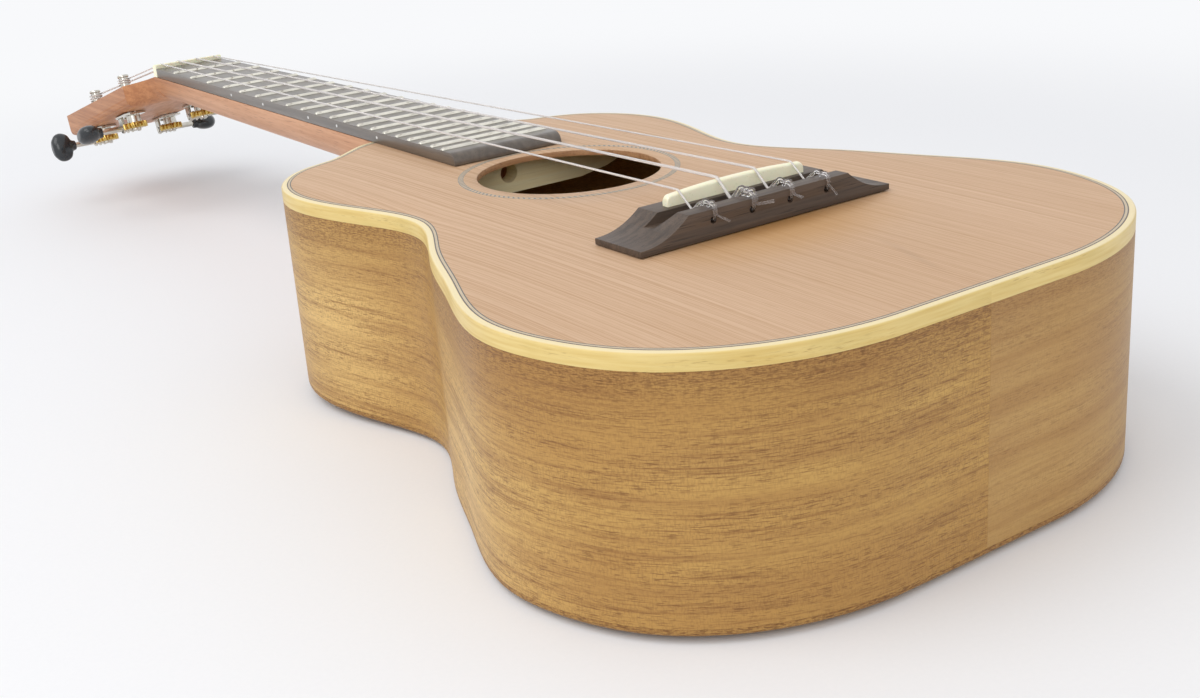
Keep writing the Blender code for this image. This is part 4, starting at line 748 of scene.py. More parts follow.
def cylinder_mesh(start, end, radius, segments=32):
    bm = bmesh.new()
    start, end = Vector(start), Vector(end)
    turn = (end - start).to_track_quat("Z", "Y").to_matrix().to_4x4()
    size = {"radius1": radius, "radius2": radius, "depth": (end - start).length}
    matrix = Matrix.Translation((start + end) / 2) @ turn
    bmesh.ops.create_cone(bm, cap_ends=True, segments=segments, matrix=matrix, **size)
    return new_mesh(bm)


def cut(mesh, *tools):
    """The mesh with the shapes of the tools taken out of it."""
    for tool in tools:
        base, other = new_object("base", mesh), new_object("tool", tool)
        modifier = base.modifiers.new("shape", "BOOLEAN")
        modifier.operation = "DIFFERENCE"
        modifier.object = other
        mesh = evaluated_mesh(base)
        bpy.data.objects.remove(other)
    return mesh


def soften(thing, width, segments, angle):
    """Rounds the sharp edges of an object."""
    bevel = thing.modifiers.new("edges", "BEVEL")
    bevel.width = width
    bevel.segments = segments
    bevel.limit_method = "ANGLE"
    bevel.angle_limit = math.radians(angle)


def rounded(mesh, width, segments=2, angle=40.0):
    thing = new_object("base", mesh)
    soften(thing, width, segments, angle)
    return evaluated_mesh(thing)


def piece(name, mesh, look, body="instrument", replaces=(), sharp=35.0, place=None):
    """A finished piece of the object, riding on its body, where asked moved to its place or mirrored."""
    material, slot = look
    mesh.name = name
    if place:
        mesh.transform(place)
        if place.determinant() < 0:
            mesh.flip_normals()
    mesh.shade_smooth()
    mesh.set_sharp_from_angle(angle=math.radians(sharp))
    mesh.materials.clear()
    mesh.materials.append(material)
    thing = new_object(name, mesh)
    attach(thing, body)
    if replaces:
        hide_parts(*replaces)


def dress(node, look, edge=0.0):
    """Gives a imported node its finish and, where asked, a softened edge."""
    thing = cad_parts[node]
    for slot in thing.material_slots:
        slot.material = look[0]
    if edge:
        soften(thing, edge, 2, 35.0)


# The body's outline


def smooth_through(knots, start_slope, end_slope, count):
    """Evenly spread points of the smoothest curve through the knots, with given directions at its ends."""
    knots = np.array(knots)
    steps = np.linalg.norm(np.diff(knots, axis=0), axis=1)
    lengths = np.concatenate([[0.0], np.cumsum(steps)])
    system = np.eye(len(knots))
    right = np.zeros_like(knots)
    right[0] = start_slope
    right[-1] = end_slope
    for index in range(1, len(knots) - 1):
        before, after = steps[index - 1], steps[index]
        system[index, index - 1 : index + 2] = after, 2 * (before + after), before
        rise_before = (knots[index] - knots[index - 1]) * after / before
        rise_after = (knots[index + 1] - knots[index]) * before / after
        right[index] = 3 * (rise_before + rise_after)
    slopes = np.linalg.solve(system, right)
    places = np.linspace(0.0, lengths[-1], count)
    spans = np.clip(np.searchsorted(lengths, places, side="right") - 1, 0, len(steps) - 1)
    width = steps[spans][:, None]
    share = ((places - lengths[spans]) / steps[spans])[:, None]
    start, end = knots[spans], knots[spans + 1]
    leave, arrive = slopes[spans] * width, slopes[spans + 1] * width
    bend = share * (1 - share)
    return (
        start * (1 + 2 * share) * (1 - share) ** 2
        + end * share**2 * (3 - 2 * share)
        + leave * bend * (1 - share)
        - arrive * bend * share
    )


def half_outline():
    """Half widths and stations of the body's edge, from the tail's centre to the neck's centre."""
    marks = ((0.0, 0.0), LOWER_BOUT, WAIST, UPPER_BOUT, NECK_END)
    knots = []
    for start, end, shares in zip(marks, marks[1:], OUTLINE_SHARES):
        width, length = end[0] - start[0], end[1] - start[1]
        knots += [start, *((start[0] + width * u, start[1] + length * v) for u, v in shares)]
    knots += [NECK_END, (0.0, BODY_LENGTH)]
    points = smooth_through(knots, (1.0, 0.0), (-1.0, 0.0), HALF_STEPS + 1)
    points[:, 1] = np.clip(points[:, 1], 0.0, BODY_LENGTH)
    points[:, 0] = np.maximum(points[:, 0], 0.0)
    return points


HALF_OUTLINE = half_outline()
EDGE_TURNS = np.arctan2(HALF_OUTLINE[:, 0], SOUNDHOLE_STATION - HALF_OUTLINE[:, 1])
EDGE_REACHES = np.hypot(HALF_OUTLINE[:, 0], SOUNDHOLE_STATION - HALF_OUTLINE[:, 1])


def half_outline_inset(inset):
    ahead = np.roll(HALF_OUTLINE, -1, axis=0) - HALF_OUTLINE
    behind = HALF_OUTLINE - np.roll(HALF_OUTLINE, 1, axis=0)
    along = ahead + behind
    along[0] = (1.0, 0.0)
    along[-1] = (-1.0, 0.0)
    along /= np.linalg.norm(along, axis=1)[:, None]
    inwards = np.stack([-along[:, 1], along[:, 0]], axis=1)
    moved = HALF_OUTLINE + inset * inwards
    moved[:, 0] = np.maximum(moved[:, 0], 0.0)
    return moved


def full_outline(inset):
    half = half_outline_inset(inset)
    points = np.concatenate([half, half[-2:0:-1] * (-1.0, 1.0)])
    return [(float(x), from_tail(float(station))) for x, station in points]


def dish_height(x, y):
    distance = math.hypot(x, y - from_tail(BACK_LOW_STATION))
    return max(0.0, (distance**2 - BACK_FLAT_RADIUS**2) / (2 * BACK_DISH_RADIUS))


def board_height(x, y):
    """The soundboard's top, which falls towards its edge on a line from the soundhole's centre."""
    turn = math.atan2(abs(x), HOLE_Y - y)
    reach = float(np.interp(turn, EDGE_TURNS, EDGE_REACHES))
    share = (math.hypot(x, HOLE_Y - y) - SOUNDHOLE_RADIUS) / (reach - SOUNDHOLE_RADIUS)
    fall = max(0.0, (share - EDGE_FALL_FROM) / (1 - EDGE_FALL_FROM)) ** 2
    if y > HOLE_Y:
        beside = (abs(x) - LEVEL_HALF_WIDTH) / (SLOPED_HALF_WIDTH - LEVEL_HALF_WIDTH)
        beside = min(1.0, max(0.0, beside))
        fall *= beside * beside * (3 - 2 * beside)
    return BODY_DEPTH - EDGE_FALL * min(1.0, fall)


def above_board(rise):
    return lambda x, y: board_height(x, y) + rise


def inside_back(x, y):
    return dish_height(x, y) + BACK_THICKNESS + JOINT_LINE


def running_lengths(points, closed):
    """Distances along the points, with one more for the way back when closed."""
    places = np.array(points + points[:1] if closed else points)
    steps = np.linalg.norm(np.diff(places, axis=0), axis=1)
    return np.concatenate([[0.0], np.cumsum(steps)]).tolist()


def band_mesh(profile, side=0):
    """A strip round the body, swept from (inset, height) points, all round or on one side of the seam."""
    rows = []
    for inset, height in profile:
        if side:
            half = half_outline_inset(inset)
            half[:, 0] = np.maximum(half[:, 0], JOINT_LINE)
            points = [(side * x, from_tail(station)) for x, station in half.tolist()]
        else:
            points = full_outline(inset)
        rows.append([(x, y, height(x, y) if callable(height) else height) for x, y in points])
    along = running_lengths([point[:2] for point in rows[0]], not side)
    if side > 0:
        along = [length + BODY_LENGTH * 4 for length in along]
    across = running_lengths([row[0] for row in rows], True)
    return loft_mesh(list(zip(*rows)), closed=not side, uv=(along, across))


# The body's pieces


def second_material(mesh, look, points, rows):
    """Another material for some rows of a loft's faces, where a row has so many points."""
    mesh.materials.append(look[0])
    for face in mesh.polygons:
        if face.index // points in rows:
            face.material_index = 1


def board_ring(share, drop, widen=0.0):
    """Points round the board, a share of the way from the soundhole's edge to the board's edge."""
    ring = []
    for x, y in full_outline(BINDING_THICKNESS + JOINT_LINE):
        distance = math.hypot(x, y - HOLE_Y)
        wanted = SOUNDHOLE_RADIUS + widen + (distance - SOUNDHOLE_RADIUS) * share
        ring_x, ring_y = x * wanted / distance, HOLE_Y + (y - HOLE_Y) * wanted / distance
        ring.append((ring_x, ring_y, board_height(ring_x, ring_y) - drop))
    return ring


def build_soundboard():
    sections = [board_ring(0.0, HOLE_EDGE_ROUND), board_ring(0.0, 0.0, HOLE_EDGE_ROUND)]
    sections += [board_ring(share, 0.0) for share in BOARD_SHARES[1:]]
    sections += [board_ring(share, SOUNDBOARD_THICKNESS) for share in reversed(BOARD_SHARES)]
    mesh = loft_mesh(sections, closed=True)
    piece("soundboard_cedar", mesh, CEDAR, replaces=["soundboard"], sharp=50.0)
    second_material(mesh, CEDAR_END, len(sections[0]), [len(sections) - 1])


def build_purfling():
    for number, (tone, outer, inner) in enumerate(PURFLING_BANDS):
        low, top = above_board(-INLAY_RISE), above_board(INLAY_RISE)
        mesh = band_mesh([(outer, low), (outer, top), (inner, top), (inner, low)])
        piece(f"purfling_{number + 1}", mesh, LINES[tone])


def build_rosette():
    for number, (tone, inner, outer) in enumerate(ROSETTE_BANDS):
        loops = [circle_points(radius, 160, HOLE_Y) for radius in (outer, inner)]
        ring, place = outline_mesh(loops, 2 * INLAY_RISE), Matrix.Translation((0.0, 0.0, BODY_DEPTH))
        piece(f"rosette_{number + 1}", ring, LINES[tone], place=place)
    inner, outer = ROSETTE_BANDS[1][1:]
    lean, half = ROSETTE_DASH_SLANT / outer, ROSETTE_DASH_WIDTH / outer / 2
    bm = bmesh.new()
    for middle in round_turns(ROSETTE_DASHES):
        corners = ((inner, middle - lean - half), (inner, middle - lean + half))
        corners += ((outer, middle + lean + half), (outer, middle + lean - half))
        points = [polar(radius, angle) for radius, angle in corners]
        levels = (BODY_DEPTH - INLAY_RISE, BODY_DEPTH + 2 * INLAY_RISE)
        loft(bm, [[(x, HOLE_Y + y, level) for x, y in points] for level in levels])
    piece("rosette_dashes", new_mesh(bm), LINES["grey"])


def build_binding():
    profile = [(0.0, BINDING_BOTTOM)]
    profile += [(inset, above_board(-drop)) for inset, drop in quarter_round(BINDING_ROUND, 6)]
    profile += [(BINDING_THICKNESS, above_board(0.0)), (BINDING_THICKNESS, BINDING_BOTTOM)]
    piece("binding_maple", band_mesh(profile), MAPLE, replaces=["top_binding"], sharp=50.0)


def build_sides():
    top = BINDING_BOTTOM - JOINT_LINE
    profile = [(0.0, inside_back), (0.0, top), (SIDE_THICKNESS, top), (SIDE_THICKNESS, inside_back)]
    for name, node, side in (("side_wood_bass", "side_bass", -1), ("side_wood_treble", "side_treble", 1)):
        piece(name, band_mesh(profile, side), SIDE_WOOD, replaces=[node])


def back_ring(share, height_above_dish, inset=0.0):
    centre = from_tail(BACK_LOW_STATION)
    ring = []
    for x, y in full_outline(inset):
        reach = BACK_FLAT_RADIUS / math.hypot(x, y - centre)
        flat_x, flat_y = x * reach, centre + (y - centre) * reach
        ring_x, ring_y = flat_x + (x - flat_x) * share, flat_y + (y - flat_y) * share
        ring.append((ring_x, ring_y, dish_height(ring_x, ring_y) + height_above_dish))
    return ring


def build_back():
    shares = (0.0, 0.25, 0.5, 0.75)
    sections = [back_ring(share, 0.0) for share in shares]
    sections += [back_ring(1.0, *places) for places in quarter_round(BACK_EDGE_ROUND, 5)]
    rim = range(len(shares), len(sections))
    sections.append(back_ring(1.0, BACK_THICKNESS))
    sections += [back_ring(share, BACK_THICKNESS) for share in reversed(shares)]
    along = running_lengths(full_outline(0.0), True)
    across = running_lengths([section[0] for section in sections], False)
    mesh = loft_mesh(sections, uv=(across, along))
    for corner in mesh.uv_layers[0].data:
        corner.uv = (corner.uv[1], corner.uv[0])
    piece("back_wood", mesh, BACK_WOOD, replaces=["back_plate"], sharp=50.0)
    second_material(mesh, SIDE_WOOD, len(sections[0]), rim)


def dress_inside():
    braces = ("upper_brace", "lower_brace", "back_brace_lower", "back_brace_upper")
    for node in ("top_lining", "back_lining", "bridge_plate", *braces):
        dress(node, SPRUCE)
    for node in ("neck_block", "tail_block"):
        dress(node, NECK_WOOD)
    dress("truss_rod", STEEL)


build_soundboard()
build_purfling()
build_rosette()
build_binding()
build_sides()
build_back()
dress_inside()


# Neck, fingerboard, frets and nut


def fret_station(number):
    return SADDLE_STATION + SCALE_LENGTH / 2 ** (number / 12)


FINGERBOARD_END_STATION = fret_station(FRET_COUNT) - FINGERBOARD_PAST_LAST_FRET
HEAD_TURN = Matrix.Rotation(-HEAD_TILT, 4, "X")
HEAD_FRAME = Matrix.Translation((0.0, from_tail(HEAD_START_STATION), BODY_DEPTH)) @ HEAD_TURN


def fingerboard_half_width(station):
    share = (NUT_STATION - station) / (NUT_STATION - FINGERBOARD_END_STATION)
    return (FINGERBOARD_NUT_WIDTH + (FINGERBOARD_END_WIDTH - FINGERBOARD_NUT_WIDTH) * share) / 2


def head_point(x, s, n):
    """World place of a point given across the head, along it from its start, and out of its front."""
    return tuple(HEAD_FRAME @ Vector((x, s, n)))


def round_section(half_width, depth, squareness, steps=20):
    """(x, depth) points from the right top corner, round the underside, to the left top corner."""
    right = []
    for angle in evenly(QUARTER, steps):
        across = half_width * max(0.0, math.cos(angle)) ** (2 / squareness)
        right.append((across, depth * math.sin(angle) ** (2 / squareness)))
    return right + mirrored(right[:-1])


def neck_section(station, *shape, lean=0.0):
    y = from_tail(station)
    return [(x, y - down * lean, BODY_DEPTH - down) for x, down in round_section(*shape)]


def head_section(along, *shape):
    return [head_point(x, along, -down) for x, down in round_section(*shape)]


def neck_mesh():
    sections = []
    heel_start = BODY_LENGTH + SEAT_GAP
    for way in evenly(1.0, 28):
        share = way**1.5
        station = heel_start + HEEL_LENGTH * share
        swell = (1 - share) ** HEEL_SWEEP
        depth = NECK_DEPTH_AT_HEEL + (HEEL_DEPTH - NECK_DEPTH_AT_HEEL) * swell
        sections.append(neck_section(station, fingerboard_half_width(station), depth, 2.2 - 0.4 * swell))
    nut_half = FINGERBOARD_NUT_WIDTH / 2
    crease_lean = math.tan(HEAD_TILT / 2)
    sections.append(neck_section(NUT_STATION - NUT_LENGTH, nut_half, NECK_DEPTH_AT_NUT, 2.2))
    sections.append(neck_section(HEAD_START_STATION, nut_half, NECK_DEPTH_AT_NUT, 2.4, lean=crease_lean))
    flare = HEAD_WIDTH / 2 - nut_half
    shares, widths, squares = zip(*HEAD_FLARE)
    for share in evenly(1.0, 16)[1:]:
        depth = HEAD_THICKNESS + (NECK_DEPTH_AT_NUT - HEAD_THICKNESS) * (1 - share) ** 2
        half = nut_half + flare * float(np.interp(share, shares, widths))
        squareness = float(np.interp(share, shares, squares))
        sections.append(head_section(HEAD_FLARE_LENGTH * share, half, depth, squareness))
    for inset, short in quarter_round(HEAD_CORNER_RADIUS, 8):
        sections.append(head_section(HEAD_LENGTH - short, HEAD_WIDTH / 2 - inset, HEAD_THICKNESS, 12.0))
    neck = loft_mesh(sections)
    for number, station in TUNER_STATIONS.items():
        x = TUNER_SIDES[number] * POST_FROM_CENTRE
        low, high = head_point(x, station, -2 * HEAD_THICKNESS), head_point(x, station, HEAD_THICKNESS)
        neck = cut(neck, cylinder_mesh(low, high, POST_RADIUS + 2 * SHAFT_CLEARANCE))
    height = BODY_DEPTH - TRUSS_ROD_BELOW_TOP
    start, end = ((0.0, from_tail(station), height) for station in ROD_CHANNEL_STATIONS)
    return cut(neck, cylinder_mesh(start, end, ROD_CHANNEL_RADIUS))


def fingerboard_section(station, height):
    half = fingerboard_half_width(station)
    y = from_tail(station)
    low, high = FINGERBOARD_BOTTOM, FINGERBOARD_BOTTOM + height
    return [(-half, y, low), (half, y, low), (half, y, high), (-half, y, high)]


def build_fingerboard():
    sections = []
    for inset, drop in quarter_round(FINGERBOARD_END_ROUND, 12):
        station, height = FINGERBOARD_END_STATION + inset, FINGERBOARD_THICKNESS - drop
        sections.append(fingerboard_section(station, height))
    sections.append(fingerboard_section(NUT_STATION - SEAT_GAP, FINGERBOARD_THICKNESS))
    board = rounded(loft_mesh(sections), 0.0003)
    slots = bmesh.new()
    slot_middle = FINGERBOARD_TOP - FRET_TANG_DEPTH - SEAT_GAP + FINGERBOARD_THICKNESS / 2
    for number in range(1, FRET_COUNT + 1):
        reach = fingerboard_half_width(fret_station(number)) - SEAT_GAP / 3
        size = (2 * reach, FRET_TANG_WIDTH + SEAT_GAP, FINGERBOARD_THICKNESS)
        add_box(slots, (0.0, from_tail(fret_station(number)), slot_middle), size)
    board = cut(board, new_mesh(slots))
    piece("fingerboard_wood", board, DARK_WOOD, replaces=["fingerboard"])
    height = FINGERBOARD_BOTTOM + FINGERBOARD_THICKNESS / 2
    for number in SIDE_DOT_FRETS:
        middle = (fret_station(number) + fret_station(number - 1)) / 2
        half, y = fingerboard_half_width(middle), from_tail(middle)
        start, end = (-half - INLAY_RISE, y, height), (-half + SIDE_DOT_DEPTH, y, height)
        dot = cylinder_mesh(start, end, SIDE_DOT_RADIUS, 24)
        piece(f"side_dot_{number:02d}", dot, WHITE_DOT)


def build_frets():
    seat = FINGERBOARD_TOP + SEAT_GAP / 6
    tang = FRET_TANG_WIDTH / 2
    foot = FINGERBOARD_TOP - FRET_TANG_DEPTH
    for number in range(1, FRET_COUNT + 1):
        y = from_tail(fret_station(number))
        half = fingerboard_half_width(fret_station(number)) - SEAT_GAP
        sections = []
        for inset, rise in FRET_ENDS:
            x = inset - half
            ring = [(x, y - tang, foot), (x, y + tang, foot), (x, y + tang, seat)]
            for turn in evenly(math.pi, 12):
                across = FRET_CROWN_WIDTH / 2 * math.cos(turn)
                ring.append((x, y + across, seat + FRET_CROWN_HEIGHT * rise * math.sin(turn)))
            ring.append((x, y - tang, seat))
            sections.append(ring)
        sections += [[(-x, *rest) for x, *rest in ring] for ring in reversed(sections)]
        wire, fret = f"fret_wire_{number:02d}", f"fret_{number:02d}"
        piece(wire, loft_mesh(sections), NICKEL, replaces=[fret])


build_fingerboard()
build_frets()
piece("neck_mahogany", rounded(neck_mesh(), 0.0004), NECK_WOOD, replaces=["neck"])
dress("nut", BONE, 0.0002)


# Bridge, saddle and strings


def string_x(number, spread):
    return spread / 2 - spread / 3 * (number - 1)


def saddle_top(x):
    return BRIDGE_BOTTOM + SADDLE_TOP_HEIGHT - SADDLE_TOP_FALL * (2 * x / SADDLE_LENGTH) ** 2


def build_bridge():
    half, crest = BRIDGE_LENGTH / 2, TIE_BLOCK_LENGTH / 2
    right = []
    for share in evenly(1.0, 32):
        rise = (TIE_BLOCK_HEIGHT - BRIDGE_TIP_THICKNESS) * (1 - share) ** WING_SWEEP
        right.append((crest + (half - crest) * share, BRIDGE_BOTTOM + BRIDGE_TIP_THICKNESS + rise))
    loop = [(-half, BRIDGE_BOTTOM), (half, BRIDGE_BOTTOM), *reversed(right), *reversed(mirrored(right))]
    bridge = outline_mesh([loop], BRIDGE_WIDTH, "front")
    bridge.transform(Matrix.Translation((0.0, TIE_BACK_Y + BRIDGE_WIDTH / 2, 0.0)))
    above, ridge = BRIDGE_BOTTOM + 2 * TIE_BLOCK_HEIGHT, BRIDGE_BOTTOM + SADDLE_RIDGE_HEIGHT
    trough_end, trough_middle = TROUGH_Y + TROUGH_WIDTH, TROUGH_Y + TROUGH_WIDTH / 2
    section = [(TIE_FRONT_Y, above), (TIE_FRONT_Y, TIE_TOP), (TROUGH_Y, TROUGH_FLOOR)]
    section += [(trough_end, TROUGH_FLOOR), (trough_end, above)]
    trough = outline_mesh([section], 2 * BRIDGE_LENGTH, "side")
    over_ridge = box_mesh((-half, trough_middle, ridge), (half, TIE_BACK_Y + 2 * BRIDGE_WIDTH, above))
    slot_half, slot_reach = SADDLE_THICKNESS / 2 + SEAT_GAP / 3, SADDLE_LENGTH / 2 + SEAT_GAP / 3
    slot_low = (-slot_reach, SADDLE_Y - slot_half, ridge - SADDLE_SLOT_DEPTH)
    slot = box_mesh(slot_low, (slot_reach, SADDLE_Y + slot_half, above))
    bridge = cut(rounded(cut(bridge, trough, over_ridge), 0.00035, 3, 25.0), slot)
    for number in STRING_DIAMETERS:
        x = string_x(number, SADDLE_STRING_SPREAD)
        start = (x, TIE_BACK_Y - TIE_BLOCK_FOOT_WIDTH, TIE_HOLE_LEVEL)
        end = (x, trough_middle, TIE_HOLE_LEVEL)
        bridge = cut(bridge, cylinder_mesh(start, end, TIE_HOLE_RADIUS, 24))
    piece("bridge_wood", bridge, BRIDGE_WOOD, replaces=["bridge"], sharp=30.0)


def build_saddle():
    bottom = BRIDGE_BOTTOM + SADDLE_RIDGE_HEIGHT - SADDLE_SLOT_DEPTH + SEAT_GAP
    y, half_thickness = SADDLE_Y, SADDLE_THICKNESS / 2
    right = [(x, saddle_top(x)) for x in evenly(SADDLE_LENGTH / 2 - SADDLE_END_ROUND, 12)]
    for drop, inset in quarter_round(SADDLE_END_ROUND, 8)[1:]:
        x = SADDLE_LENGTH / 2 - inset
        right.append((x, saddle_top(x) - drop))
    sections = []
    for x, top in mirrored(right[1:]) + right:
        ring = [(x, y - half_thickness, bottom), (x, y + half_thickness, bottom)]
        for turn in evenly(math.pi, 10):
            fall = SADDLE_CROWN * (1 - math.sin(turn)) ** 1.2
            ring.append((x, y + half_thickness * math.cos(turn), top - fall))
        sections.append(ring)
    mesh = loft_mesh(sections)
    piece("saddle_bone", mesh, BONE, replaces=["saddle"], sharp=50.0)


def tie_route(number):
    """From the string's free tip, wound back round its own strand, to the top of the saddle."""
    radius = STRING_DIAMETERS[number] / 2
    x = string_x(number, SADDLE_STRING_SPREAD)
    apart = 2 * radius + KNOT_SPACE
    back, front, top, hole = TIE_BACK_Y, TIE_FRONT_Y, TIE_TOP, TIE_HOLE_LEVEL
    hole_front = front + (TROUGH_Y - front) * (top - hole) / (top - TROUGH_FLOOR)
    saddle_y, half_saddle = SADDLE_Y, SADDLE_THICKNESS / 2
    lift = radius + STRING_GAP
    crest = saddle_top(x) + lift
    level = top + lift + apart
    loop_y = hole_front + KNOT_LOOP_FORWARD
    rise = (crest - half_saddle / 2 - hole) / (saddle_y - half_saddle - hole_front)
    loop_z = hole + KNOT_LOOP_FORWARD * rise
    turns = KNOT_TURNS[number]
    aside, behind, down = KNOT_TIPS[number]
    route = [
        (x + aside, back + behind, top + down),
        (x + apart, back - lift, top + KNOT_TIP_START),
        (x + apart, back - lift, top - radius),
        (x + apart, back - lift / 2, level - radius),
        (x + apart, back + radius, level),
    ]
    for share in evenly(1.0, round(16 * turns))[1:-1]:
        turn = CIRCLE * turns * share
        y = back + (front - back) * share
        route.append((x + apart * math.cos(turn), y, level + apart * math.sin(turn)))
    last = apart * math.cos(CIRCLE * turns)
    route += [
        (x + last, front + radius, level - radius),
        (x + last, loop_y - radius, loop_z + radius),
        (x, loop_y + radius, loop_z - apart),
        (x - last, loop_y - radius, loop_z + radius),
        (x - last * 0.7, front + radius, level - radius),
        (x, front - 2 * radius, level),
        (x, back + 2 * radius, level),
        (x, back - lift / 2, level - radius),
        (x, back - lift, top - radius),
        (x, back - lift, hole + radius),
        (x, back - lift / 2, hole),
        (x, hole_front + STRING_GAP / 2, hole),
        (x, saddle_y - half_saddle, crest - half_saddle / 2),
        (x, saddle_y - half_saddle / 2, crest - half_saddle / 10),
        (x, saddle_y, crest),
    ]
    return route


def winding_route(number):
    """From the nut to the post and round it, down towards the head."""
    radius = STRING_DIAMETERS[number] / 2
    side = TUNER_SIDES[number]
    nut_x = string_x(number, NUT_STRING_SPREAD)
    centre_x, centre_s = side * POST_FROM_CENTRE, TUNER_STATIONS[number]
    coil_radius = POST_WAIST_RADIUS + radius + STRING_GAP
    away_x, away_s = -side * (nut_x - centre_x), -centre_s
    first = math.atan2(away_s, away_x) + math.acos(coil_radius / math.hypot(away_x, away_s))
    pitch = 2 * radius + WINDING_SPACE
    seat = NUT_SLOT_HEIGHT + radius + STRING_GAP
    route = [(nut_x, NUT_Y, seat), (nut_x, NUT_Y + NUT_LENGTH * NUT_SEAT_SHARE, seat)]
    for turns in evenly(WINDING_TURNS, round(24 * WINDING_TURNS)):
        angle = first + CIRCLE * turns
        across = centre_x - side * coil_radius * math.cos(angle)
        along = centre_s + coil_radius * math.sin(angle)
        route.append(head_point(across, along, WINDING_TOP - pitch * turns))
    return route


def softened(points, reach):
    """The route with its corners rounded by up to a given reach."""
    points = [Vector(point) for point in points]
    made = [points[0]]
    for before, corner, after in zip(points, points[1:], points[2:]):
        into, out = corner - before, after - corner
        distance = min(reach, into.length * 0.45, out.length * 0.45)
        start = corner - into.normalized() * distance
        end = corner + out.normalized() * distance
        for share in evenly(1.0, 4):
            made.append(start.lerp(corner, share).lerp(corner.lerp(end, share), share))
    return [*made, points[-1]]


def build_strings():
    for number, diameter in STRING_DIAMETERS.items():
        route = softened(tie_route(number) + winding_route(number), 0.0006)
        mesh, node = tube_mesh(route, diameter), f"string_{number}"
        piece(f"nylon_{node}", mesh, NYLON, replaces=[node], sharp=60.0)


build_bridge()
build_saddle()
build_strings()


# Tuners, each built at its post's foot on the head, for the treble side, and mirrored for the bass side


def gear_mesh():
    half_tip = GEAR_TIP_WIDTH / 2 / GEAR_TIP_RADIUS
    half_root = GEAR_ROOT_WIDTH / 2 / GEAR_ROOT_RADIUS
    slant = WORM_LEAD / (CIRCLE * (WORM_CENTRE_DISTANCE - GEAR_PITCH_RADIUS)) / GEAR_PITCH_RADIUS
    corners = ((GEAR_ROOT_RADIUS, -half_root), (GEAR_TIP_RADIUS, -half_tip))
    corners += ((GEAR_TIP_RADIUS, half_tip), (GEAR_ROOT_RADIUS, half_root))
    sections = []
    for height in (-GEAR_THICKNESS / 2, GEAR_THICKNESS / 2):
        ring = []
        for tooth in range(GEAR_TEETH):
            middle = QUARTER + CIRCLE * tooth / GEAR_TEETH + slant * height
            for radius, turn in corners:
                ring.append((*polar(radius, middle + turn), WORM_LEVEL + height))
        sections.append(ring)
    return loft_mesh(sections)


def post_profile(gear_top):
    flare = POST_RADIUS - POST_WAIST_RADIUS
    collar_top = PLATE_BOTTOM - SHAFT_CLEARANCE
    return [
        (0.0, POST_HEIGHT),
        (POST_RADIUS - flare, POST_HEIGHT),
        (POST_RADIUS - flare * 0.3, POST_HEIGHT - flare * 0.3),
        (POST_RADIUS, POST_HEIGHT - flare),
        (POST_RADIUS, POST_HEIGHT - 2 * flare),
        (POST_WAIST_RADIUS, POST_HEIGHT - 3 * flare),
        (POST_WAIST_RADIUS, 3 * flare),
        (POST_RADIUS, 2 * flare),
        (POST_RADIUS, collar_top),
        (GEAR_COLLAR_RADIUS, collar_top),
        (GEAR_COLLAR_RADIUS, gear_top),
        (0.0, gear_top),
    ]


def build_post(number, place, handed):
    gear_top, gear_bottom = WORM_LEVEL + GEAR_THICKNESS / 2, WORM_LEVEL - GEAR_THICKNESS / 2
    body = f"post_{number}"
    post = turned_mesh(post_profile(gear_top))
    level, reach = WINDING_TOP - WINDING_SPACE, 2 * POST_RADIUS
    hole = cylinder_mesh((-reach, 0.0, level), (reach, 0.0, level), POST_STRING_HOLE_RADIUS)
    replaced = [f"string_post_{number}"]
    piece(f"post_barrel_{number}", cut(post, hole), CHROME, body, replaced, place=place)
    piece(f"brass_gear_{number}", rounded(gear_mesh(), 0.00012), BRASS, body, place=handed)
    radius, height, foot = GEAR_SCREW_RADIUS, GEAR_SCREW_HEIGHT, gear_bottom - GEAR_SCREW_HEIGHT
    profile = [(0.0, gear_bottom + SEAT_GAP), (radius, gear_bottom + SEAT_GAP)]
    profile += [(radius, foot + height * 0.45), (radius * 0.86, foot + height * 0.15)]
    profile += [(radius * 0.6, foot), (0.0, foot)]
    screw = turned_mesh(profile)
    low = (-radius * 2, -radius * 0.14, foot - height)
    high = (radius * 2, radius * 0.14, foot + height * 0.4)
    piece(f"gear_screw_{number}", cut(screw, box_mesh(low, high)), CHROME, body, place=place)


def worm_radius(x, angle):
    turns = (x - WORM_LEAD / 2) / WORM_LEAD - angle / CIRCLE
    offset = abs(turns - round(turns)) * WORM_LEAD
    ridge = math.cos(math.pi * offset / WORM_THREAD_WIDTH) if offset < WORM_THREAD_WIDTH / 2 else 0.0
    end_distance = WORM_TURNS * WORM_LEAD / 2 - abs(x)
    fade = min(1.0, max(0.0, end_distance / (WORM_THREAD_WIDTH / 2)))
    return WORM_CORE_RADIUS + WORM_THREAD_HEIGHT * ridge * fade


def worm_ring(x, radius_at):
    return [(x, *polar(-radius_at(x, angle), angle)) for angle in round_turns(32)]


def build_worm(number, place):
    def shaft(x, angle):
        return SHAFT_RADIUS

    reach = WORM_TURNS * WORM_LEAD / 2
    inner_end = -(EAR_FROM_POST + EAR_THICKNESS + SEAT_GAP)
    rings = [worm_ring(inner_end, shaft), worm_ring(-reach, shaft)]
    rings += [worm_ring(-reach + way, worm_radius) for way in evenly(2 * reach, 70)]
    rings += [worm_ring(reach, shaft), worm_ring(BUTTON_FROM_POST + SHAFT_IN_BUTTON, shaft)]
    replaced = [f"worm_shaft_{number}"]
    piece(f"worm_{number}", loft_mesh(rings), CHROME, f"key_{number}", replaced, 50.0, place)


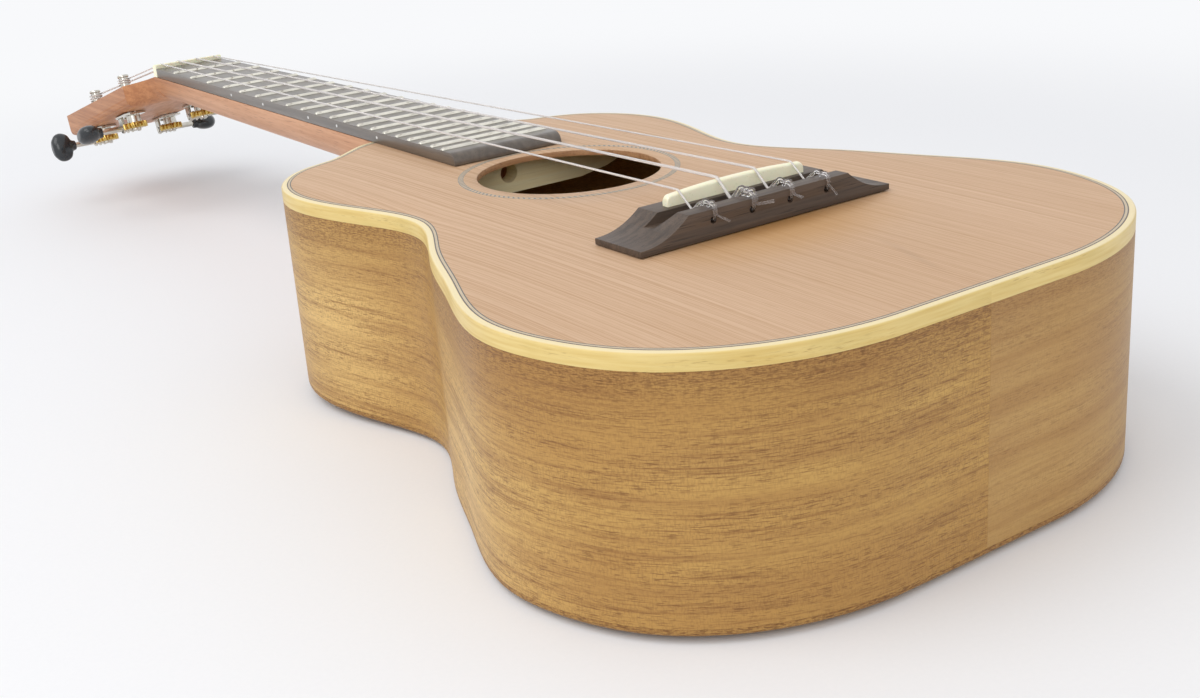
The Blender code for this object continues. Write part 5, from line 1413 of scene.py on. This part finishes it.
def build_button(number, place):
    shares, widths, depths = (np.array(column) for column in zip(*BUTTON_SHAPE))
    knots = np.stack([shares, widths * BUTTON_WIDTH / 2 / BUTTON_LENGTH, depths], axis=1)
    rings = []
    for share, wide, thick in smooth_through(knots, (0.2, 0.0, 0.0), (0.1, -0.9, -0.9), 40).tolist():
        ring = []
        for angle in round_turns(40):
            across = wide * BUTTON_LENGTH * math.cos(angle)
            ring.append((BUTTON_LENGTH * share, across, BUTTON_THICKNESS / 2 * thick * math.sin(angle)))
        rings.append(ring)
    start, end = (-BUTTON_LENGTH, 0.0, 0.0), (SHAFT_IN_BUTTON + SEAT_GAP, 0.0, 0.0)
    bore = cylinder_mesh(start, end, SHAFT_RADIUS + SEAT_GAP / 3)
    button = rounded(cut(loft_mesh(rings), bore), 0.0003, 3, 50.0)
    button.transform(Matrix.Translation((BUTTON_FROM_POST, 0.0, 0.0)))
    replaced = [f"tuner_button_{number}"]
    piece(f"button_{number}", button, PLASTIC, f"key_{number}", replaced, 60.0, place)


def build_screws(number, place):
    low, high = -PLATE_BEHIND_POST, WORM_CENTRE_DISTANCE + PLATE_PAST_WORM
    stations = (low + PLATE_HOLE_FROM_INNER_END, high - PLATE_HOLE_FROM_OUTER_END)
    shank, head = PLATE_SCREW_HOLE_RADIUS * 0.9, PLATE_SCREW_HOLE_RADIUS * 1.7
    top, bottom = PLATE_BOTTOM, PLATE_BOTTOM - PLATE_SCREW_HEAD_HEIGHT
    tip = PLATE_SCREW_SHANK_END - HEAD_THICKNESS
    profile = [(0.0, tip), (shank, tip), (shank, top), (head, top), (head * 0.9, bottom * 0.7 + top * 0.3)]
    profile += [(head * 0.55, bottom), (0.0, bottom)]
    for index, station in enumerate(stations):
        screw = turned_mesh(profile, 24)
        for half_x, half_y in ((head * 0.55, head * 0.12), (head * 0.12, head * 0.55)):
            slot_low, slot_high = (-half_x, -half_y, 2 * bottom - top), (half_x, half_y, (bottom + top) / 2)
            screw = cut(screw, box_mesh(slot_low, slot_high))
        hole_place = place @ Matrix.Translation((0.0, station, 0.0))
        piece(f"plate_screw_{number}_{index + 1}", screw, CHROME, place=hole_place)


def build_bushing(number, place):
    inner, outer = POST_RADIUS + SHAFT_CLEARANCE / 2, POST_RADIUS + 0.0016
    profile = [(inner, 0.0), (outer, 0.0), (outer, 0.0003), (outer - 0.0003, 0.0007), (inner, 0.0008)]
    piece(f"post_bushing_{number}", turned_mesh(profile, closed=True), CHROME, place=place)


def build_tuners():
    for number, side in TUNER_SIDES.items():
        place = HEAD_FRAME @ Matrix.Translation((side * POST_FROM_CENTRE, TUNER_STATIONS[number], 0.0))
        key_place = place @ Matrix.Translation((0.0, WORM_CENTRE_DISTANCE, WORM_LEVEL))
        turn = Matrix.Rotation(math.radians(BUTTON_REST_ANGLES[number]), 4, "X")
        hand = Matrix.Diagonal((side, 1.0, 1.0, 1.0))
        dress(f"tuner_plate_{number}", CHROME, 0.00012)
        build_post(number, place, place @ hand)
        build_worm(number, key_place @ hand)
        build_button(number, key_place @ turn @ hand)
        build_screws(number, place)
        build_bushing(number, place)


build_tuners()


# Floor and light


def build_floor():
    bm = bmesh.new()
    bmesh.ops.create_grid(bm, x_segments=1, y_segments=1, size=8.0)
    mesh = new_mesh(bm)
    finish = Finish("floor_paper", Specular_IOR_Level=0.15)
    tooth = finish.noise(700.0)
    finish.color = finish.mixed(tooth, (0.895, 0.90, 0.915), (0.87, 0.875, 0.89))
    mesh.materials.append(finish.done((tooth, 0.7, 0.8)))
    glow = finish.add("ShaderNodeEmission", {"Color": FAR_FLOOR})
    near = finish.spot(finish.place, (0.0, 0.0), (FLOOR_FADE_END, FLOOR_FADE_END))
    share = finish.scaled(finish.between(near, FLOOR_FADE_SHARE, 0.0), finish.seen())
    shaders = {0: share, 1: finish.shader.outputs[0], 2: glow.outputs[0]}
    mixed = finish.add("ShaderNodeMixShader", shaders)
    finish.tree.links.new(mixed.outputs[0], finish.tree.nodes["Material Output"].inputs["Surface"])
    floor = new_object("floor", mesh)
    floor.location = (0.0, 0.0, -0.0002)


def build_world():
    world = bpy.data.worlds.new("studio")
    bpy.context.scene.world = world
    nodes = Nodes(world)
    background = nodes.tree.nodes["Background"]
    background.inputs["Color"].default_value = (*FAR_FLOOR, 1.0)
    strength = nodes.ranged(nodes.seen(), 0.0, 1.0, WORLD_LIGHT)
    nodes.tree.links.new(strength, background.inputs["Strength"])


def area_light(name, place, target, size, power):
    data = bpy.data.lights.new(name, "AREA")
    data.shape = "DISK"
    data.size = size
    data.energy = power
    light = new_object(name, data)
    light.location = place
    aim = Vector(target) - Vector(place)
    light.rotation_euler = aim.to_track_quat("-Z", "Y").to_euler()


build_floor()
build_world()
area_light("key", (-1.2, 0.2, 1.6), (0.0, -0.1, 0.0), 1.6, 12.0)
area_light("fill", (-1.35, -1.45, 1.25), (0.0, -0.1, 0.05), 1.4, 11.0)

bpy.context.scene.view_settings.view_transform = "Standard"
